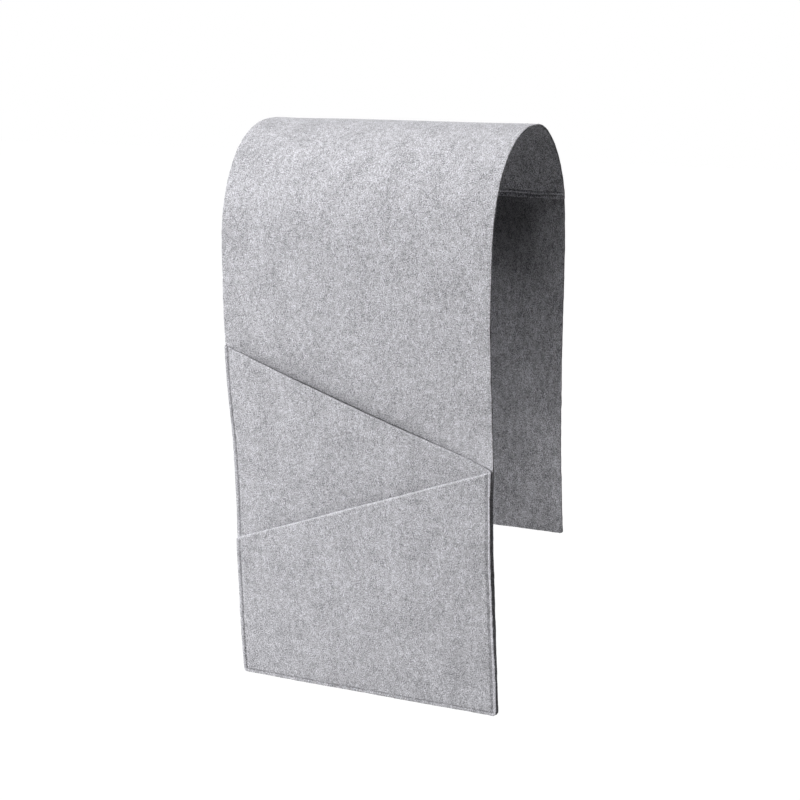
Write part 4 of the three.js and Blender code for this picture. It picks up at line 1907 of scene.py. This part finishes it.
@dataclass(frozen=True)
class Holder:
    """The whole holder: its sheets, seams and fuzz, of which the bobbin and rear seam threads are
    parented to the frame's bodies.
    """

    pattern: Pattern = Pattern()
    line: DrapeLine = DrapeLine()
    pockets: PocketSizes = PocketSizes()
    fuzz: Fuzz = Fuzz()
    left_stray: EdgeStray = EdgeStray.in_mm((195, 250, 330), (0, -0.5, 0))
    right_stray: EdgeStray = EdgeStray.in_mm(
        (14, 50, 80, 101, 122, 144, 200, 218, 240, 285, 345, 390, 430, 530, 664),
        (0.5, 0.3, -0.1, -1.1, -1.7, -2.2, -2.2, -0.9, -0.3, 0.5, -0.3, 0.8, 0.7, 1.2, 0.4),
    )
    rear_stray_reach: float = 40 * MM
    rear_stray_offsets: tuple[float, float] = (-0.8 * MM, 0.4 * MM)
    front_bend: tuple[tuple[float, float, float], ...] = ((0, -0.055, -0.017), (0, -0.092, -0.08))
    rear_bend_start: float = 1 * MM
    rear_bend_reach: float = 50 * MM

    def strip(self) -> MainStrip:
        """The main strip's cut."""
        strays = (self.left_stray, self.right_stray)
        return MainStrip("felt_strip", self.pattern, self.line, 1, *strays, pockets=self.pockets)

    def rear_panel(self) -> RearPanel:
        """Lays out the rear panel's cut.

        Returns:
            The panel, whose right edge strays a little further below the seam.
        """
        strip = self.strip()
        stations = (strip.tail_end, strip.tail_end + self.rear_stray_reach)
        right = EdgeStray(stations, self.rear_stray_offsets)
        return RearPanel("rear_panel", self.pattern, self.line, 4, right_stray=right, strip=strip)

    def build_strip(self, felt: bpy.types.Material, fibre: bpy.types.Material) -> None:
        """Builds the main strip and its fuzz.

        Args:
            felt: The felt's material.
            fibre: The loose fibres' material.
        """
        cut = self.strip()
        sheet = cut.build(felt)
        fuzz = self.fuzz.grow(sheet, cut, fibre)
        bend = Bend("saddle", "front_flap", *self.front_bend)
        bend.apply(sheet, fuzz)
        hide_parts("strip_saddle", "strip_front_drop")
        cut.tail_end

    def build_rear_panel(self, felt: bpy.types.Material, fibre: bpy.types.Material) -> None:
        """Builds the rear leg and its fuzz.

        Args:
            felt: The felt's material.
            fibre: The loose fibres' material.
        """
        cut = self.rear_panel()
        sheet = cut.build(felt)
        fuzz = self.fuzz.grow(sheet, cut, fibre)
        seam_end = self.line.place(np.array([[0, cut.strip.tail_end + self.rear_bend_start, 0]]))[0]
        bend_end = seam_end - [0, 0, self.rear_bend_reach]
        Bend("saddle", "rear_flap", tuple(seam_end), tuple(bend_end)).apply(sheet, fuzz)
        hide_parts("rear_panel_seam_band", "rear_panel_drop")
        length = self.line.length - cut.head

    def build_pocket(
        self, level: int, felt: bpy.types.Material, fibre: bpy.types.Material, thread: bpy.types.Material
    ) -> None:
        """Builds one pocket panel in two halves, and the needle thread on it.

        Args:
            level: 0 for the upper panel and 1 for the lower one, which lies in front.
            felt: The felt's material.
            fibre: The loose fibres' material.
            thread: The thread's material.
        """
        name = ("upper", "lower")[level]
        pockets = self.pockets
        cut = PocketPanel(
            f"{name}_pocket",
            self.pattern,
            self.line,
            seed=2 + level,
            left_stray=pockets.left_stray,
            right_stray=pockets.right_stray,
            pockets=pockets,
            level=level,
        )
        whole = cut.build(felt)
        for half in Half:
            sheet = cut.halve(whole, half)
            fuzz = self.fuzz.grow(sheet, cut, fibre)
            side = half.value * self.pattern.seam_across
            bend = Bend("front_flap", f"{name}_pocket", (side, 0, 0), (0, 0, 0))
            threads = [strand.build(thread) for strand in self.needle_threads(cut, half)]
            bend.apply(sheet, fuzz, *threads)
            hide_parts(f"{name}_pocket_panel")
            for strand in threads:
                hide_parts(f"{name}_pocket_needle_thread")
            edges = cut.top(np.array([side, 0.0]))
        bpy.data.objects.remove(whole)

    def needle_threads(self, cut: PocketPanel, half: Half) -> list[SeamThread]:
        """Needle threads of one half of a panel.

        Args:
            cut: The panel.
            half: Which half.

        Returns:
            One thread, or none where the seam runs on the other panel.
        """
        rows = cut.stitches(Side.OUTER)
        if not cut.is_lower:
            strand = SeamThread("upper_needle_thread", cut, Side.OUTER, tuple(rows))
            return [strand] if half is Half.LEFT else []
        left, hem, *right_side = rows
        middle = (0.0, hem.start[1])
        if half is Half.LEFT:
            kept = (left, replace(hem, end=middle))
        else:
            kept = (replace(hem, start=middle), *right_side)
        return [SeamThread(f"lower_needle_thread_{half.name.lower()}", cut, Side.OUTER, kept)]

    def build_bobbin_thread(self, thread: bpy.types.Material) -> None:
        """Builds the pocket seam's bobbin thread, on the strip's back.

        Args:
            thread: The thread's material.
        """
        cut = self.strip()
        rows = tuple(cut.stitches(Side.INNER)[:-self.pattern.rear_row_count])
        strand = SeamThread("pocket_bobbin", cut, Side.INNER, rows).build(thread)
        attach(strand, "front_flap")
        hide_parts("pocket_bobbin_thread")

    def build_rear_threads(self, thread: bpy.types.Material) -> None:
        """Builds the rear seam's threads: needle outside on the panel, bobbin inside on the tail.

        Args:
            thread: The thread's material.
        """
        strip = self.strip()
        panel = self.rear_panel()
        for place, row in zip(("upper", "lower"), strip.rear_rows()):
            for kind, cut, side in (("needle", panel, Side.OUTER), ("bobbin", strip, Side.INNER)):
                strand = SeamThread(f"rear_{place}_{kind}", cut, side, (row,)).build(thread)
                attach(strand, "saddle")
                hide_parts(f"rear_seam_{place}_{kind}_thread")

    def build(self) -> None:
        """Builds every piece."""
        felt, fibre, thread = FeltFinish().make(), FuzzFinish().make(), ThreadFinish().make()
        self.build_strip(felt, fibre)
        self.build_rear_panel(felt, fibre)
        for level in range(2):
            self.build_pocket(level, felt, fibre, thread)
        self.build_bobbin_thread(thread)
        self.build_rear_threads(thread)


@dataclass(frozen=True)
class Lamp:
    """A square soft lamp that faces the holder."""

    name: str
    place: tuple[float, float, float]
    size: float
    power: float
    aim: tuple[float, float, float] = (0, 0, -0.25)

    def add(self) -> None:
        """Adds the lamp, which no picture shows."""
        data = bpy.data.lights.new(self.name, "AREA")
        data.shape = "SQUARE"
        data.size = self.size
        data.energy = self.power
        lamp = bpy.data.objects.new(self.name, data)
        lamp.location = self.place
        lamp.rotation_mode = "QUATERNION"
        lamp.rotation_quaternion = (Vector(self.aim) - Vector(self.place)).to_track_quat("-Z", "Y")
        lamp.visible_camera = False
        bpy.context.scene.collection.objects.link(lamp)


@dataclass(frozen=True)
class Studio:
    """The camera of the photograph's angle, soft lamps, a white world and a pale floor."""

    azimuth: float = 24.777
    elevation: float = 12.85
    camera_place: tuple[float, float, float] = (0.6265, -1.3543, 0.09385)
    focal_share: float = 2.125
    sensor: float = 36.0
    clip: tuple[float, float] = (0.05, 60)
    floor_height: float = -0.66
    floor_size: float = 14
    floor_tone: float = 0.2
    floor_glow: float = 1.2
    floor_glow_share: float = 0.84
    world_level: float = 0.01
    world_colour: tuple[float, float, float] = (0.97, 0.985, 1.0)
    lamps: tuple[Lamp, ...] = (
        Lamp("left", (-1.0, -1.2, 0.35), 0.9, 9.4),
        Lamp("front", (-0.8, -1.6, -0.4), 0.6, 24.2),
        Lamp("top", (-0.1, 0.1, 1.5), 1.0, 23.6),
        Lamp("high_right", (0.5, -0.8, 1.5), 0.8, 6.2),
        Lamp("back", (-0.6, 1.8, 0.5), 1.2, 10),
        Lamp("low_bounce", (-0.05, 0.03, -0.5), 0.1, 0.11, (0, 0.09, -0.4)),
        Lamp("side_bounce", (0.17, 0, -0.33), 0.14, 0.05, (0.05, 0.1, -0.26)),
    )

    def add_camera(self) -> None:
        """Adds the camera at the photograph's angle."""
        turn, tilt = math.radians(self.azimuth), math.radians(self.elevation)
        level = math.cos(tilt)
        ahead = Vector((-math.sin(turn) * level, math.cos(turn) * level, -math.sin(tilt)))
        data = bpy.data.cameras.new("camera")
        data.sensor_width = self.sensor
        data.lens = self.sensor * self.focal_share
        data.clip_start, data.clip_end = self.clip
        camera = bpy.data.objects.new("camera", data)
        camera.location = self.camera_place
        camera.rotation_mode = "QUATERNION"
        camera.rotation_quaternion = ahead.to_track_quat("-Z", "Y")
        bpy.context.scene.collection.objects.link(camera)
        bpy.context.scene.camera = camera

    def add_world(self) -> None:
        """Adds a dim white surrounding that the camera and reflections see as white."""
        world = bpy.data.worlds.new("studio")
        bpy.context.scene.world = world
        sketch = NodeSketch(world)
        seen = sketch.rays("Is Camera Ray", "Is Glossy Ray", "Is Transmission Ray")
        dim, white = (sketch.node("ShaderNodeBackground") for _ in range(2))
        dim.inputs["Color"].default_value = (*self.world_colour, 1)
        dim.inputs["Strength"].default_value = self.world_level
        white.inputs["Color"].default_value = (1, 1, 1, 1)
        sketch.finish(seen, dim, white, "ShaderNodeOutputWorld")

    def add_floor(self) -> None:
        """Adds the floor, which keeps the holder's shadow and looks nearly white to the camera."""
        bpy.ops.object.select_all(action="DESELECT")
        bpy.ops.mesh.primitive_plane_add(size=self.floor_size, location=(0, 0, self.floor_height))
        floor = bpy.context.active_object
        floor.name = "floor"
        material = bpy.data.materials.new("pale_floor")
        sketch = NodeSketch(material)
        share = sketch.node("ShaderNodeMath", operation="MULTIPLY")
        sketch.link(sketch.rays("Is Camera Ray", "Is Transmission Ray"), share.inputs[0])
        share.inputs[1].default_value = self.floor_glow_share
        diffuse = sketch.node("ShaderNodeBsdfDiffuse")
        diffuse.inputs["Color"].default_value = (self.floor_tone,) * 3 + (1,)
        glow = sketch.node("ShaderNodeEmission")
        glow.inputs["Strength"].default_value = self.floor_glow
        sketch.finish(share.outputs[0], diffuse, glow, "ShaderNodeOutputMaterial")
        floor.data.materials.append(material)

    def build(self) -> None:
        """Sets the whole studio up."""
        bpy.context.scene.view_settings.view_transform = "Standard"
        self.add_camera()
        self.add_world()
        self.add_floor()
        for lamp in self.lamps:
            lamp.add()


def main() -> None:
    """Builds the studio and the holder."""
    logging.basicConfig(level=logging.INFO, format="%(name)s: %(message)s")
    Studio().build()
    Holder().build()


if __name__ == "__main__":
    main()
